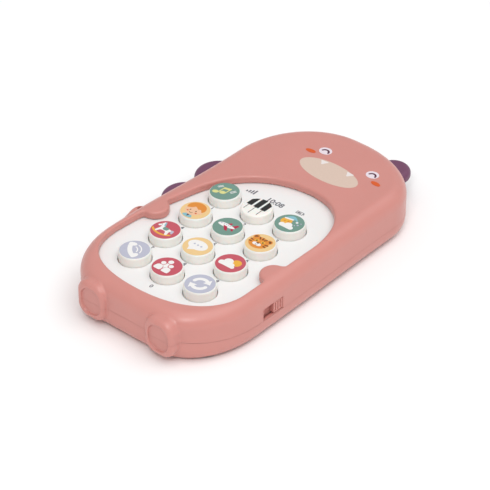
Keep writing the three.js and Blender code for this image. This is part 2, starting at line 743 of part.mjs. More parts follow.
const WIRE_RADIUS = 0.6;
const wireEnd = BOARD_BOTTOM + BOARD_THICK + GAP + WIRE_RADIUS;
for (const [name, x, color] of [['red', -13, '#b03030'], ['black', 13, '#202020']]) {
  const route = [
    [x, 26.8, 11.5], [x, 24.5, 13.2], [x * 0.9, 21.5, wireEnd + 0.4], [x * 0.8, 18.5, wireEnd],
  ];
  add(`battery_wire_${name}`, wire(route, WIRE_RADIUS), plastic(color));
}
const underBoard = BOARD_BOTTOM - GAP - WIRE_RADIUS;
for (const [name, shift, color] of [['red', 0, '#b03030'], ['black', 4, '#202020']]) {
  const y = SPEAKER_Y + 3 + shift;
  const route = [[9.2, y, 7.2], [12, y + 1, 7.6], [15, y + 3, 9], [17, y + 6, underBoard]];
  add(`speaker_wire_${name}`, wire(route, WIRE_RADIUS), plastic(color));
}

export default group;
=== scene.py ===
"""Looks of a toy telephone in the shape of a lying dinosaur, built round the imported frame."""
import math

import bpy
import numpy as np
from mathutils import Euler, Matrix, Vector


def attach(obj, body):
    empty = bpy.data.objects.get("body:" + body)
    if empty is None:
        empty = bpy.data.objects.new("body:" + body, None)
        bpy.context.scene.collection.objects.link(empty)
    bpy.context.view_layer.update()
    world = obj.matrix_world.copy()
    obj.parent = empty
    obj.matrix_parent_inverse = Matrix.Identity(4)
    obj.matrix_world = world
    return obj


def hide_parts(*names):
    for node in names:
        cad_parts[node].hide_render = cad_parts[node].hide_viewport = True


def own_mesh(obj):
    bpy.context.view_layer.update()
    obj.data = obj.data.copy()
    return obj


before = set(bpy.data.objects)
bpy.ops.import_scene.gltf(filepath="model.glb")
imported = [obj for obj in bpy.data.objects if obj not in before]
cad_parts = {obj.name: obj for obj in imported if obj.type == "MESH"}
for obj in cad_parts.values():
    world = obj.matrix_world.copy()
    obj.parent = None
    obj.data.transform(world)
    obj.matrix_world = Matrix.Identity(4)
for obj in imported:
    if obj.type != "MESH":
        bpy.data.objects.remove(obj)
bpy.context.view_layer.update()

# ------------ dimensions, in millimetres
MM = 0.001
GAP = 0.3
HALF_WIDTH = 43.5
HALF_LENGTH = 80.8
HEAD_RIGHT = 42.6
HEAD_LEFT = -40.4
HEAD_RIGHT_CORNER = (40.0, 29.5)
HEAD_LEFT_CORNER = (38.5, 42.5)
HEEL_CORNER = (26.0, 35.0)
SIDE_BEND = 42.0
BODY_TOP = 24.4
TOP_ROUND = 7.0
BOTTOM_ROUND = 7.0
WALL = 2.2
SEAM = 8.9
SEAM_RISE = 3.0
SEAM_RISE_START = -25.0
SEAM_GAP = 0.16
TONGUE = 1.6

KEY_PITCH = (19.0, 19.76)
KEY_GRID_Y = -24.5
KEY_RADIUS = 7.3
KEY_PLAY = 0.32
KEY_TOP = 24.7
KEY_FOOT = 16.4
KEY_EDGE = 0.85
PANEL_TOP = 20.4
PANEL_THICK = 2.0
PANEL_MARGIN = 1.4
BOARD_TOP = 12.6
PAWS = ((-35.6, -22.7), (37.2, -27.0))
PAW_RADIUS = 6.3

FINS = (
    ("back_spike_1", -42.2, 4.0, 11.0),
    ("back_spike_2", -41.9, 27.0, 11.4),
    ("horn_left", -14.4, 81.5, 8.0),
    ("horn_right", 16.6, 83.0, 8.0),
)
FIN_LOW, FIN_HIGH = 7.8, 13.8
FIN_ROUND = 2.6
ROOT_INSET = 4.0

FOOT_X = (-18.9, 20.3)
FOOT_HALF = (8.2, 9.4)
FOOT_MIDDLE = 12.8
FOOT_ROUND = 6.4
FOOT_BACK = 66.0
FOOT_FACE = HALF_LENGTH + 2.4
FOOT_PAD_DEPTH = 1.0
TAIL_Z = (2.0, 12.6)
STRAP_HOLE = (-51.35, -16.6)
STRAP_HOLE_RADIUS = 1.05

SLOT_Y = (-40.6, -27.9)
SLOT_TOP = 15.0
KNOB_LENGTH = 5.6
SLOT_PLAY = 6.0
SHUTTER_LAP = 0.6
SHUTTER_BOTTOM = SEAM - 0.9
GROOVE_PITCH = 1.6
BAY_HALF_WIDTH = 25.0
BAY_Y = (29.0, 63.5)
BAY_CEILING = 13.6
BAY_WALL = 1.5
DOOR_SCREW_Y = 25.3
DOOR_THICK = 2.0
DOOR_TAB = 6.2
GRIP_RIDGES, GRIP_PITCH = 5, 1.6
SPEAKER_Y = -34.4
GRILLE_HOLE_RADIUS = 1.1
GRILLE_RINGS = ((0, 1), (4, 6), (8, 12))  # each with its radius and its number of holes
SPEAKER_RING = 14.65
SHELL_POSTS = ((-33.5, 50.0), (33.5, 50.0), (-31.5, -64.5), (31.5, -64.5))
UPPER_POST_RADIUS, LOWER_POST_RADIUS = 3.0, 3.6
FOOT_POST_TOP = 17.6
RIB_LENGTH, RIB_BOTTOM = 7.0, 13.5
SCREW_BORE, SCREW_HEAD_BORE = 1.5, 2.9
SCREW_SEAT = 4.0
BOARD_POSTS = tuple(
    (sx * KEY_PITCH[0] / 2, KEY_GRID_Y + sy * KEY_PITCH[1]) for sx in (-1, 1) for sy in (-1, 1)
)
KEY_ROWS = (
    ("music", "piano", "moon"),
    ("child", "plane", "cub"),
    ("horse", "chat", "weather"),
    ("call", "friends", "swap"),
)
KEYS = {
    name: ((column - 1) * KEY_PITCH[0], KEY_GRID_Y + (1.5 - row) * KEY_PITCH[1])
    for row, names in enumerate(KEY_ROWS)
    for column, name in enumerate(names)
}


# ------------ plan curves
def ellipse_arc(centre, size, start, steps=36):
    turn = np.linspace(start, start + math.pi / 2, steps)
    return np.column_stack([centre[0] + size[0] * np.cos(turn), centre[1] + size[1] * np.sin(turn)])


def bezier(a, b, c, d, steps=28):
    t = np.linspace(0, 1, steps)[:, None]
    a, b, c, d = (np.array(p, float) for p in (a, b, c, d))
    return (1 - t) ** 3 * a + 3 * (1 - t) ** 2 * t * b + 3 * (1 - t) * t ** 2 * c + t ** 3 * d


def closed(parts):
    points = np.concatenate(parts)
    keep = np.linalg.norm(points - np.roll(points, -1, axis=0), axis=1) > 1e-4
    return points[keep]


def body_points():
    quarter = math.pi / 2
    heel = (HALF_WIDTH - HEEL_CORNER[0], HEEL_CORNER[1] - HALF_LENGTH)
    right = (HEAD_RIGHT - HEAD_RIGHT_CORNER[0], HALF_LENGTH - HEAD_RIGHT_CORNER[1])
    left = (HEAD_LEFT + HEAD_LEFT_CORNER[0], HALF_LENGTH - HEAD_LEFT_CORNER[1])
    return closed([
        ellipse_arc(heel, HEEL_CORNER, -quarter),
        bezier((HALF_WIDTH, heel[1]), (HALF_WIDTH, heel[1] + SIDE_BEND),
               (HEAD_RIGHT, right[1] - SIDE_BEND), (HEAD_RIGHT, right[1])),
        ellipse_arc(right, HEAD_RIGHT_CORNER, 0),
        ellipse_arc(left, HEAD_LEFT_CORNER, quarter),
        bezier((HEAD_LEFT, left[1]), (HEAD_LEFT, left[1] - SIDE_BEND),
               (-HALF_WIDTH, heel[1] + SIDE_BEND), (-HALF_WIDTH, heel[1])),
        ellipse_arc((-heel[0], heel[1]), HEEL_CORNER, math.pi),
    ])


def opening_points():
    right, left, foot = 37.5, -38.0, -73.0
    return closed([
        np.array([(right, -46.0)]),
        bezier((right, -2), (right, 19), (27, 32), (9, 32)),
        bezier((9, 32), (-9, 32), (-27, 22), (-32, -4)),
        bezier((-32, -4), (-33.8, -13), (left, -28), (left, -46)),
        bezier((left, -46), (left, -65), (-24, foot), (0, foot)),
        bezier((0, foot), (22, foot), (right, -64), (right, -46)),
    ])


def tail_points():
    return closed([
        bezier((-34, -66), (-42, -63), (-48.4, -54), (-49.6, -44)),
        bezier((-49.6, -44), (-50.4, -36), (-51, -29), (-53.4, -21)),
        bezier((-53.4, -21), (-55.2, -14.2), (-50.2, -11.6), (-47, -16)),
        bezier((-47, -16), (-45, -19.5), (-43, -23), (-36, -26)),
    ])


class Plan:
    """Signed distance to a closed curve in plan, looked up in a fine table."""

    LOW = (-64.0, -98.0)
    HIGH = (56.0, 102.0)
    STEP = 0.3

    def __init__(self, points):
        xs = np.arange(self.LOW[0], self.HIGH[0], self.STEP)
        ys = np.arange(self.LOW[1], self.HIGH[1], self.STEP)
        x, y = np.meshgrid(xs, ys, indexing="ij")
        nearest = np.full(x.shape, 1e9)
        inside = np.zeros(x.shape, bool)
        for (ax, ay), (bx, by) in zip(points, np.roll(points, -1, axis=0)):
            dx, dy = bx - ax, by - ay
            along = np.clip(((x - ax) * dx + (y - ay) * dy) / (dx * dx + dy * dy), 0, 1)
            nearest = np.minimum(nearest, (x - ax - along * dx) ** 2 + (y - ay - along * dy) ** 2)
            if ay != by:
                crosses = ((ay > y) != (by > y)) & (x < ax + (y - ay) * dx / dy)
                inside ^= crosses
        self.table = np.where(inside, -1, 1) * np.sqrt(nearest)

    def __call__(self, x, y):
        u = np.clip((x - self.LOW[0]) / self.STEP, 0, self.table.shape[0] - 1.001)
        v = np.clip((y - self.LOW[1]) / self.STEP, 0, self.table.shape[1] - 1.001)
        i, j = u.astype(int), v.astype(int)
        u, v = u - i, v - j
        t = self.table
        low = t[i, j] * (1 - u) + t[i + 1, j] * u
        high = t[i, j + 1] * (1 - u) + t[i + 1, j + 1] * u
        return low * (1 - v) + high * v


BODY = Plan(body_points())
OPENING = Plan(opening_points())
TAIL = Plan(tail_points())


# ------------ distance fields
def rounded(a, b, fillet):
    """Distance to a corner between two sides, rounded by the fillet."""
    p, q = a + fillet, b + fillet
    return np.minimum(np.maximum(p, q), 0) + np.hypot(np.maximum(p, 0), np.maximum(q, 0)) - fillet


def both(a, b, fillet=0.0):
    """Where two shapes overlap, with the edge between them rounded."""
    return rounded(a, b, fillet) if fillet else np.maximum(a, b)


def either(a, b, fillet=0.0):
    """Two shapes joined, with a hollow fillet between them."""
    if not fillet:
        return np.minimum(a, b)
    corner = np.hypot(np.maximum(fillet - a, 0), np.maximum(fillet - b, 0))
    return np.maximum(fillet, np.minimum(a, b)) - corner


def without(a, b, fillet=0.0):
    return both(a, -b, fillet)


def slab(d, h, low, high, low_round=0.0, high_round=0.0):
    """A plan distance d pulled up from low to high, with both ends rounded."""
    return np.maximum(both(d, h - high, high_round), both(d, low - h, low_round))


def oblong(x, y, half, fillet):
    return rounded(np.abs(x) - half[0], np.abs(y) - half[1], fillet)


def away(x, y, centre):
    return np.hypot(x - centre[0], y - centre[1])


def block(x, y, z, low, high, fillet=0.0):
    middle = [(a + b) / 2 for a, b in zip(low, high)]
    half = [(b - a) / 2 for a, b in zip(low, high)]
    d = oblong(x - middle[0], y - middle[1], half, fillet)
    return slab(d, z, low[2], high[2], fillet, fillet)


def round_post(x, y, z, centre, radius, low, high):
    return slab(away(x, y, centre) - radius, z, low, high)


def seam_height(y):
    rise = np.clip((SEAM_RISE_START - y) / (HALF_LENGTH + SEAM_RISE_START), 0, 1)
    return SEAM + SEAM_RISE * rise * rise


def limbs(x, y, z, solid):
    """Adds the feet and the tail to a shell's outer form."""
    for foot_x in FOOT_X:
        d = oblong(x - foot_x, z - FOOT_MIDDLE, FOOT_HALF, FOOT_ROUND)
        foot = slab(d, -y, FOOT_BACK, FOOT_FACE, 1.0, 2.8)
        pad = oblong(x - foot_x - 0.3, z - FOOT_MIDDLE, (FOOT_HALF[0] - 2.8, FOOT_HALF[1] - 3.0), 4.8)
        foot = without(foot, slab(pad, -y, FOOT_FACE - FOOT_PAD_DEPTH, FOOT_FACE + 9, 0.5), 0.5)
        solid = either(solid, foot, 0.5)
    tail = slab(TAIL(x, y), z, *TAIL_Z, 2.5, 1.4)
    hole = away(x, y, STRAP_HOLE) - STRAP_HOLE_RADIUS
    return without(either(solid, tail, 2.5), slab(hole, z, -5, 30), 0.3)


def fin_rooms(x, y, z, solid):
    """Cuts the windows that the fins stick out of, and the rooms for their roots behind the wall."""
    d = BODY(x, y)
    for _, cx, cy, radius in FINS:
        outline = away(x, y, (cx, cy)) - radius - GAP
        window = slab(outline, z, FIN_LOW - GAP, FIN_HIGH + GAP, FIN_ROUND + 0.2, FIN_ROUND + 0.2)
        window = both(window, -(d + WALL + 0.1))
        behind = both(slab(outline, z, FIN_LOW - 1.5, FIN_HIGH + 1.5), -(d + ROOT_INSET + GAP))
        solid = without(without(solid, window, 0.35), both(behind, d + WALL))
    return solid


def upper_shell(x, y, z):
    d = BODY(x, y)
    outer = limbs(x, y, z, slab(d, z, -40.0, BODY_TOP, 0, TOP_ROUND))
    rim = -OPENING(x, y)
    for paw in PAWS:
        rim = either(rim, away(x, y, paw) - PAW_RADIUS, 1.8)
    solid = both(outer, rim, 1.2)
    hollow = slab(d + WALL, z, -40.0, BODY_TOP - WALL, 0, TOP_ROUND - WALL)
    web = both(-1.8 - rim, PANEL_TOP + GAP - z)
    solid = without(solid, without(hollow, web))
    for px, py in SHELL_POSTS:
        top = BODY_TOP - WALL if py > 0 else FOOT_POST_TOP
        post = round_post(x, y, z, (px, py), UPPER_POST_RADIUS, SEAM, top)
        if py < 0:
            start, end = sorted((px, px + RIB_LENGTH * np.sign(px)))
            post = either(post, block(x, y, z, (start, py - 1, RIB_BOTTOM), (end, py + 1, top)))
        bore = round_post(x, y, z, (px, py), SCREW_BORE, 0.0, BODY_TOP - TOP_ROUND)
        solid = without(either(solid, both(post, outer)), bore)
    slot = block(x, y, z, (HALF_WIDTH - 6, SLOT_Y[0], SEAM - 3),
                 (HALF_WIDTH + 6, SLOT_Y[1], SLOT_TOP), 0.4)
    solid = fin_rooms(x, y, z, without(solid, slot, 0.4))
    return both(solid, seam_height(y) + SEAM_GAP / 2 - z)


def lower_shell(x, y, z):
    d = BODY(x, y)
    under = z - seam_height(y) + SEAM_GAP / 2
    outer = limbs(x, y, z, slab(d, z, 0.0, 60.0, BOTTOM_ROUND, 0))
    hollow = slab(d + WALL, z, WALL, 60.0, BOTTOM_ROUND - WALL, 0)
    solid = either(both(without(outer, hollow), under), tongue(x, y, z))
    for px, py in SHELL_POSTS:
        post = both(round_post(x, y, z, (px, py), LOWER_POST_RADIUS, 1.0, 40.0), both(under, outer))
        bore = either(round_post(x, y, z, (px, py), SCREW_HEAD_BORE, -5.0, SCREW_SEAT),
                      round_post(x, y, z, (px, py), SCREW_BORE, -5.0, 40.0))
        solid = without(either(solid, post), bore, 0.25)
    ring = np.abs(away(x, y, (0, SPEAKER_Y)) - SPEAKER_RING) - 0.55
    solid = either(solid, slab(ring, z, 1.0, 5.0))
    solid = battery_bay(x, y, z, solid)
    for radius, count in GRILLE_RINGS:
        for hole in range(count):
            turn = 2 * math.pi * hole / count
            centre = (radius * math.cos(turn), SPEAKER_Y + radius * math.sin(turn))
            solid = without(solid, away(x, y, centre) - GRILLE_HOLE_RADIUS, 0.25)
    return fin_rooms(x, y, z, solid)


def tongue(x, y, z):
    """The lip of the lower shell that stands up inside the upper one."""
    d = BODY(x, y) + WALL + GAP
    lip = both(both(d, -(d + 1)), 3.0 - z)
    lip = both(lip, z - seam_height(y) - TONGUE)
    beside_knob = block(x, y, z, (30, SLOT_Y[0] - SLOT_PLAY - 2, 0), (60, SLOT_Y[1] + SLOT_PLAY + 2, 30))
    lip = without(lip, beside_knob)
    for px, py in SHELL_POSTS:
        lip = without(lip, away(x, y, (px, py)) - 3.4)
    return lip


def battery_bay(x, y, z, solid):
    """Adds the bay's walls, its room, the recess for the cover's hook and the cover's screw post."""
    w, (y0, y1) = BAY_HALF_WIDTH, BAY_Y
    walls = block(x, y, z, (-w - BAY_WALL, y0 - BAY_WALL, 1.0),
                  (w + BAY_WALL, y1 + BAY_WALL, BAY_CEILING + BAY_WALL), 0.3)
    room = block(x, y, z, (-w, y0, -9.0), (w, y1, BAY_CEILING), 0.2)
    room = either(room, block(x, y, z, (-5, y0 - DOOR_TAB - GAP, -9.0), (5, y0 + 2, 2.6), 0.2))
    room = either(room, block(x, y, z, (-7, y1 - 2, WALL), (7, y1 + 3, WALL + 5)))
    post = without(round_post(x, y, z, (0, DOOR_SCREW_Y), 3.4, 2.6, 9.5),
                   round_post(x, y, z, (0, DOOR_SCREW_Y), 1.9, 0.0, 8.6))
    return either(without(either(solid, walls), room, 0.3), post)


def key_panel(x, y, z):
    bottom = PANEL_TOP - PANEL_THICK
    solid = slab(OPENING(x, y) - PANEL_MARGIN, z, bottom, PANEL_TOP, 0, 0.2)
    for centre in KEYS.values():
        solid = without(solid, away(x, y, centre) - KEY_RADIUS - KEY_PLAY, 0.2)
    for post in BOARD_POSTS:
        stem = without(round_post(x, y, z, post, 2.1, BOARD_TOP + GAP, bottom + 0.5),
                       round_post(x, y, z, post, 1.15, 0.0, bottom - 1))
        solid = either(solid, stem)
    return solid


def fin_field(cx, cy, radius):
    def field(x, y, z):
        d = BODY(x, y)
        outline = away(x, y, (cx, cy)) - radius
        solid = both(slab(outline, z, FIN_LOW, FIN_HIGH, FIN_ROUND, FIN_ROUND), -(d + ROOT_INSET), 0.3)
        flange = both(slab(outline, z, FIN_LOW - 1.2, FIN_HIGH + 1.2, 0.3, 0.3), -(d + ROOT_INSET), 0.3)
        return either(solid, both(flange, d + WALL + GAP))
    return field


def battery_door(x, y, z):
    w, (y0, y1) = BAY_HALF_WIDTH - GAP, BAY_Y
    low, high = GAP, GAP + DOOR_THICK
    solid = block(x, y, z, (-w, y0 + GAP, low), (w, y1 - GAP, high), 0.35)
    tab = block(x, y, z, (-4.7, y0 - DOOR_TAB, low), (4.7, y0 + 2, high), 0.35)
    hook = either(block(x, y, z, (-6, y1 - 2, 2.5), (6, y1 + 1.6, 3.4), 0.15),
                  block(x, y, z, (-6, y1 - 2, 0.8), (6, y1 - 0.8, 3.4), 0.15))
    solid = either(either(solid, tab, 0.6), hook)
    for ridge in range(GRIP_RIDGES):
        start = y0 + 3.1 + GRIP_PITCH * ridge
        solid = without(solid, block(x, y, z, (-9, start, -1), (9, start + 0.7, low + 0.4), 0.15), 0.15)
    recess = either(round_post(x, y, z, (0, DOOR_SCREW_Y), 2.6, -1, GAP + 1.2),
                    round_post(x, y, z, (0, DOOR_SCREW_Y), 1.4, -1, 5))
    return without(solid, recess, 0.15)


def switch_knob(x, y, z):
    low, high = SEAM + GAP + 0.15, SLOT_TOP - GAP
    face, back = HALF_WIDTH - 0.4, HALF_WIDTH - WALL - 0.5
    y0, y1 = SLOT_Y[1] - GAP - KNOB_LENGTH, SLOT_Y[1] - GAP
    solid = block(x, y, z, (back - 0.5, y0, low), (face, y1, high), 0.3)
    shutter = block(x, y, z, (back - 1.6, SLOT_Y[0] - SHUTTER_LAP, SHUTTER_BOTTOM),
                    (back, SLOT_Y[1] + SLOT_PLAY + SHUTTER_LAP, high + 0.8), 0.15)
    for groove in (-1, 0, 1):
        middle = (y0 + y1) / 2 + groove * GROOVE_PITCH
        cut = block(x, y, z, (face - 0.6, middle - 0.35, low + 0.5),
                    (face + 3, middle + 0.35, high - 0.5), 0.1)
        solid = without(solid, cut, 0.2)
    return either(solid, shutter)


# ------------ meshing
def surface(field, low, high, step, z_step=None):
    """Surface nets: one point for each grid cell that the surface passes through.

    The surface lies clear of the grid's sides. Gives the points, the faces, and which points lie
    in a cell that a wall passes through sideways.
    """
    steps = (step, step, z_step or step)
    axes = [np.arange(a, b + c, c) for a, b, c in zip(low, high, steps)]
    values = field(axes[0][:, None, None], axes[1][None, :, None], axes[2][None, None, :])
    values = np.broadcast_to(values, tuple(map(len, axes))).astype(np.float32)
    values = np.where(np.abs(values) < 1e-6, 1e-6, values)
    cells = tuple(n - 1 for n in values.shape)
    total = np.zeros(cells + (3,), np.float32)
    count = np.zeros(cells, np.uint8)
    beside_wall = np.zeros(cells, bool)
    quads = []
    for axis in range(3):
        first = [slice(None)] * 3
        second = [slice(None)] * 3
        first[axis], second[axis] = slice(0, -1), slice(1, None)
        a, b = values[tuple(first)], values[tuple(second)]
        crossed = np.nonzero((a < 0) != (b < 0))
        along = a[crossed] / (a[crossed] - b[crossed])
        point = np.column_stack([axes[k][crossed[k]] for k in range(3)]).astype(np.float32)
        point[:, axis] += along * steps[axis]
        across = [k for k in range(3) if k != axis]
        corners = []
        for da, db in ((1, 1), (0, 1), (0, 0), (1, 0)):
            cell = list(crossed)
            cell[across[0]] = crossed[across[0]] - da
            cell[across[1]] = crossed[across[1]] - db
            corners.append(tuple(cell))
            np.add.at(total, corners[-1], point)
            np.add.at(count, corners[-1], 1)
            if axis < 2:
                beside_wall[corners[-1]] = True
        quads.append((corners, (a[crossed] < 0) == (axis != 1)))
    used = np.nonzero(count)
    number = np.full(cells, -1, np.int32)
    number[used] = np.arange(len(used[0]))
    faces = []
    for corners, forward in quads:
        quad = np.column_stack([number[cell] for cell in corners])
        faces.append(np.where(forward[:, None], quad, quad[:, ::-1]))
    points = (total[used] / count[used][:, None]).astype(float)
    return points, np.concatenate(faces), beside_wall[used]


def slope(field, points, reach=0.06):
    parts = []
    for axis in range(3):
        step = np.zeros(3)
        step[axis] = reach
        parts.append(field(*(points + step).T) - field(*(points - step).T))
    return np.column_stack(parts) / (2 * reach)


def unit(vectors):
    return vectors / np.maximum(np.linalg.norm(vectors, axis=1)[:, None], 1e-9)


def capped(moves, most):
    """Moves no longer than the given length."""
    length = np.linalg.norm(moves, axis=1)[:, None]
    return moves * np.minimum(1, most / np.maximum(length, 1e-9))


def step_onto(field, points, free=(1, 1, 1)):
    """The moves that take points to the surface along the free axes, and the slope there."""
    g = slope(field, points) * free
    size = np.maximum((g * g).sum(axis=1), 0.25)
    return -(field(*points.T) / size)[:, None] * g, g


def settled(field, points):
    """Moves the points onto the surface, and gives the surface's normals there."""
    for _ in range(3):
        points = points + capped(step_onto(field, points)[0], 0.25)
    return points, unit(slope(field, points))


def new_object(name, data):
    thing = bpy.data.objects.new(name, data)
    bpy.context.scene.collection.objects.link(thing)
    return thing


def place(piece, body, nodes=()):
    """Lets a piece ride on a body, and hides the CAD nodes it stands for."""
    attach(piece, body)
    if nodes:
        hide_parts(*nodes)
    return piece


def add_piece(name, points, faces, materials, body, nodes=(), normals=None, which=None, sharp=30):
    """Makes a smooth piece. Which gives each face's material. Sharp edges are set by their angle."""
    mesh = bpy.data.meshes.new(name)
    mesh.from_pydata((np.asarray(points) * MM).tolist(), [], [list(map(int, f)) for f in faces])
    for material in materials:
        mesh.materials.append(material)
    if which is not None:
        mesh.polygons.foreach_set("material_index", np.asarray(which, np.int32))
    mesh.polygons.foreach_set("use_smooth", np.ones(len(mesh.polygons), bool))
    mesh.update()
    if normals is None:
        mesh.set_sharp_from_angle(angle=math.radians(sharp))
    else:
        mesh.normals_split_custom_set_from_vertices(normals.tolist())
    return place(new_object(name, mesh), body, nodes)


def seam_lift(y, z):
    """How far a point of the grid is raised, so that the seam runs along one layer of its cells."""
    return (seam_height(y) - SEAM) * np.clip((9 - np.abs(z - SEAM)) / 7, 0, 1)


def seam_edge(field, points, normals, edge_points, side):
    """Draws a shell's points beside the seam onto it, so that the shell ends in a true edge."""
    x, y, _ = points.T
    edge = seam_height(y) + side * SEAM_GAP / 2
    start = np.column_stack([x, y, edge + side * 0.7])
    near = edge_points & (np.abs(field(*start.T)) < 0.5)
    start = start[near]
    spot = start
    for _ in range(3):
        move, g = step_onto(field, spot, (1, 1, 0))
        spot = start + capped(spot + move - start, 0.6)
    points, normals = points.copy(), normals.copy()
    points[near] = np.column_stack([spot[:, 0], spot[:, 1], edge[near]])
    normals[near] = unit(g)
    return points, normals


def field_piece(name, field, low, high, step, material, body, nodes=(), z_step=None):
    points, faces, _ = surface(field, low, high, step, z_step)
    points, normals = settled(field, points)
    add_piece(name, points, faces, [material], body, nodes, normals)


def shell_piece(name, field, low, high, side, nodes):
    """A shell. Its side is 1 above the seam and -1 below it."""
    z_step = SHELL_STEP * 0.8
    edge = SEAM + side * SEAM_GAP / 2
    bottom = edge - (math.ceil((edge - low[2]) / z_step) + 0.5) * z_step

    def lifted(x, y, z):
        return field(x, y, z + seam_lift(y, z))

    points, faces, beside_wall = surface(lifted, (low[0], low[1], bottom), high, SHELL_STEP, z_step)
    edge_points = beside_wall & (np.abs(points[:, 2] - edge) < z_step / 2)
    points[:, 2] += seam_lift(points[:, 1], points[:, 2])
    points, normals = settled(field, points)
    points, normals = seam_edge(field, points, normals, edge_points, side)
    add_piece(name, points, faces, [CORAL], "phone", nodes, normals)


def lathe(profile, sides=72):
    """A turned form's points and faces, and the stretch of the profile that each face is on.

    The profile starts and ends on the axis, lowest first.
    """
    rings, points, faces, bands = [], [], [], []
    for radius, height in profile:
        count = 1 if radius < 1e-6 else sides
        rings.append(range(len(points), len(points) + count))
        for side in range(count):
            turn = 2 * math.pi * side / sides
            points.append((radius * math.cos(turn), radius * math.sin(turn), height))
    for band, (a, b) in enumerate(zip(rings, rings[1:])):
        for side in range(max(len(a), len(b))):
            i, j = side, side + 1
            corners = a[i % len(a)], a[j % len(a)], b[j % len(b)], b[i % len(b)]
            faces.append(tuple(dict.fromkeys(corners)))
            bands.append(band)
    return np.array(points), faces, bands


def softened(profile, fillet, steps=4):
    """A profile with each inner corner cut to a small arc."""
    out = [profile[0]]
    for before, here, after in zip(profile, profile[1:], profile[2:]):
        a, p, b = (np.array(v, float) for v in (before, here, after))
        la, lb = np.linalg.norm(a - p), np.linalg.norm(b - p)
        r = min(fillet, la * 0.45, lb * 0.45)
        start, end = p + (a - p) / la * r, p + (b - p) / lb * r
        for t in np.linspace(0, 1, steps + 1):
            out.append(tuple((1 - t) ** 2 * start + 2 * t * (1 - t) * p + t * t * end))
    out.append(profile[-1])
    return out


# ------------ materials
def srgb(red, green, blue):
    """A colour given as it looks on screen, 0 to 255, as the shader wants it."""
    def linear(value):
        value /= 255
        return value / 12.92 if value <= 0.04045 else ((value + 0.055) / 1.055) ** 2.4
    return linear(red), linear(green), linear(blue), 1.0


VEIL = 0.04  # what the sheen adds to a lit surface
LIGHT_LEVEL = 1.08  # how brightly the studio lights a surface that faces up


def seen(red, green, blue):
    """The shader's colour for a surface that should look like this on screen, 0 to 255."""
    return tuple(max(0.004, (c - VEIL) / LIGHT_LEVEL) for c in srgb(red, green, blue)[:3]) + (1.0,)


class Finish:
    """A material built from noise in the object's own space."""

    def __init__(self, name):
        self.material = bpy.data.materials.new(name)
        self.material.use_nodes = True
        self.tree = self.material.node_tree
        self.shader = self.tree.nodes["Principled BSDF"]
        self.where = self.tree.nodes.new("ShaderNodeTexCoord").outputs["Object"]

    def node(self, kind, links, **values):
        """A node with its inputs linked or set. Spaces in their names are written as underscores."""
        node = self.tree.nodes.new(kind)
        for socket, value in values.items():
            node.inputs[socket.replace("_", " ")].default_value = value
        for socket, source in links.items():
            self.tree.links.new(source, node.inputs[socket])
        return node

    def feed(self, value, socket):
        self.tree.links.new(value, self.shader.inputs[socket])

    def noise(self, scale, detail=3.0, roughness=0.5, where=None):
        links = {"Vector": where or self.where}
        return self.node("ShaderNodeTexNoise", links, Scale=scale, Detail=detail,
                         Roughness=roughness).outputs["Fac"]

    def spread(self, value, low=0.0, high=1.0):
        """Maps a noise value to a range of numbers."""
        return self.node("ShaderNodeMapRange", {"Value": value}, From_Min=0.3, From_Max=0.7,
                         To_Min=low, To_Max=high).outputs["Result"]

    def tones(self, value, dark, light):
        mix = self.tree.nodes.new("ShaderNodeMix")
        mix.data_type = "RGBA"
        mix.inputs["A"].default_value = dark
        mix.inputs["B"].default_value = light
        self.tree.links.new(value, mix.inputs["Factor"])
        self.feed(mix.outputs["Result"], "Base Color")

    def bumps(self, *layers):
        """Stacks bumps: each is a value, its strength and its depth in metres."""
        links = {}
        for value, strength, depth in layers:
            links["Height"] = value
            links["Normal"] = self.node("ShaderNodeBump", links, Strength=strength,
                                        Distance=depth).outputs["Normal"]
        self.feed(links["Normal"], "Normal")


def shade(colour, factor):
    return tuple(min(1.0, c * factor) for c in colour[:3]) + (1.0,)


def moulded(name, colour, gloss=(0.34, 0.42), variation=0.03, grain=0.00002, coat=0.0, glow=0.0):
    """Moulded plastic: faint flow marks in the colour, a fine spark-eroded grain and soft waves."""
    look = Finish(name)
    flow = look.spread(look.noise(38.0, 4.0, 0.55))
    look.tones(flow, shade(colour, 1 - variation), shade(colour, 1 + variation))
    look.feed(look.spread(look.noise(420.0, 2.0), *gloss), "Roughness")
    look.shader.inputs["IOR"].default_value = 1.5
    look.shader.inputs["Coat Weight"].default_value = coat
    look.shader.inputs["Coat Roughness"].default_value = 0.2
    if glow:
        look.shader.inputs["Subsurface Weight"].default_value = glow
        look.shader.inputs["Subsurface Radius"].default_value = (0.004, 0.0022, 0.0018)
        look.shader.inputs["Subsurface Scale"].default_value = 0.6
    look.bumps((look.noise(2600.0, 2.0), 0.18, grain), (look.noise(55.0, 1.0), 0.12, 0.0002))
    return look.material


def inked(name, colour, variation):
    """Pad-printed ink: thin and even, with a slight dot-like mottle."""
    look = Finish(name)
    mottle = look.spread(look.noise(900.0, 3.0, 0.6))
    look.tones(mottle, shade(colour, 1 - variation), shade(colour, 1 + variation))
    look.feed(look.spread(look.noise(500.0), 0.34, 0.46), "Roughness")
    look.bumps((look.noise(3000.0), 0.1, 0.00001))
    return look.material


def plated(name, colour, rough=(0.22, 0.38)):
    """Plated steel with fine drawn lines."""
    look = Finish(name)
    stretched = look.node("ShaderNodeMapping", {"Vector": look.where}, Scale=(1, 1, 14))
    lines = look.noise(700.0, where=stretched.outputs["Vector"])
    look.shader.inputs["Metallic"].default_value = 1.0
    look.tones(look.spread(lines), shade(colour, 0.9), shade(colour, 1.06))
    look.feed(look.spread(lines, *rough), "Roughness")
    look.bumps((lines, 0.2, 0.00001))
    return look.material


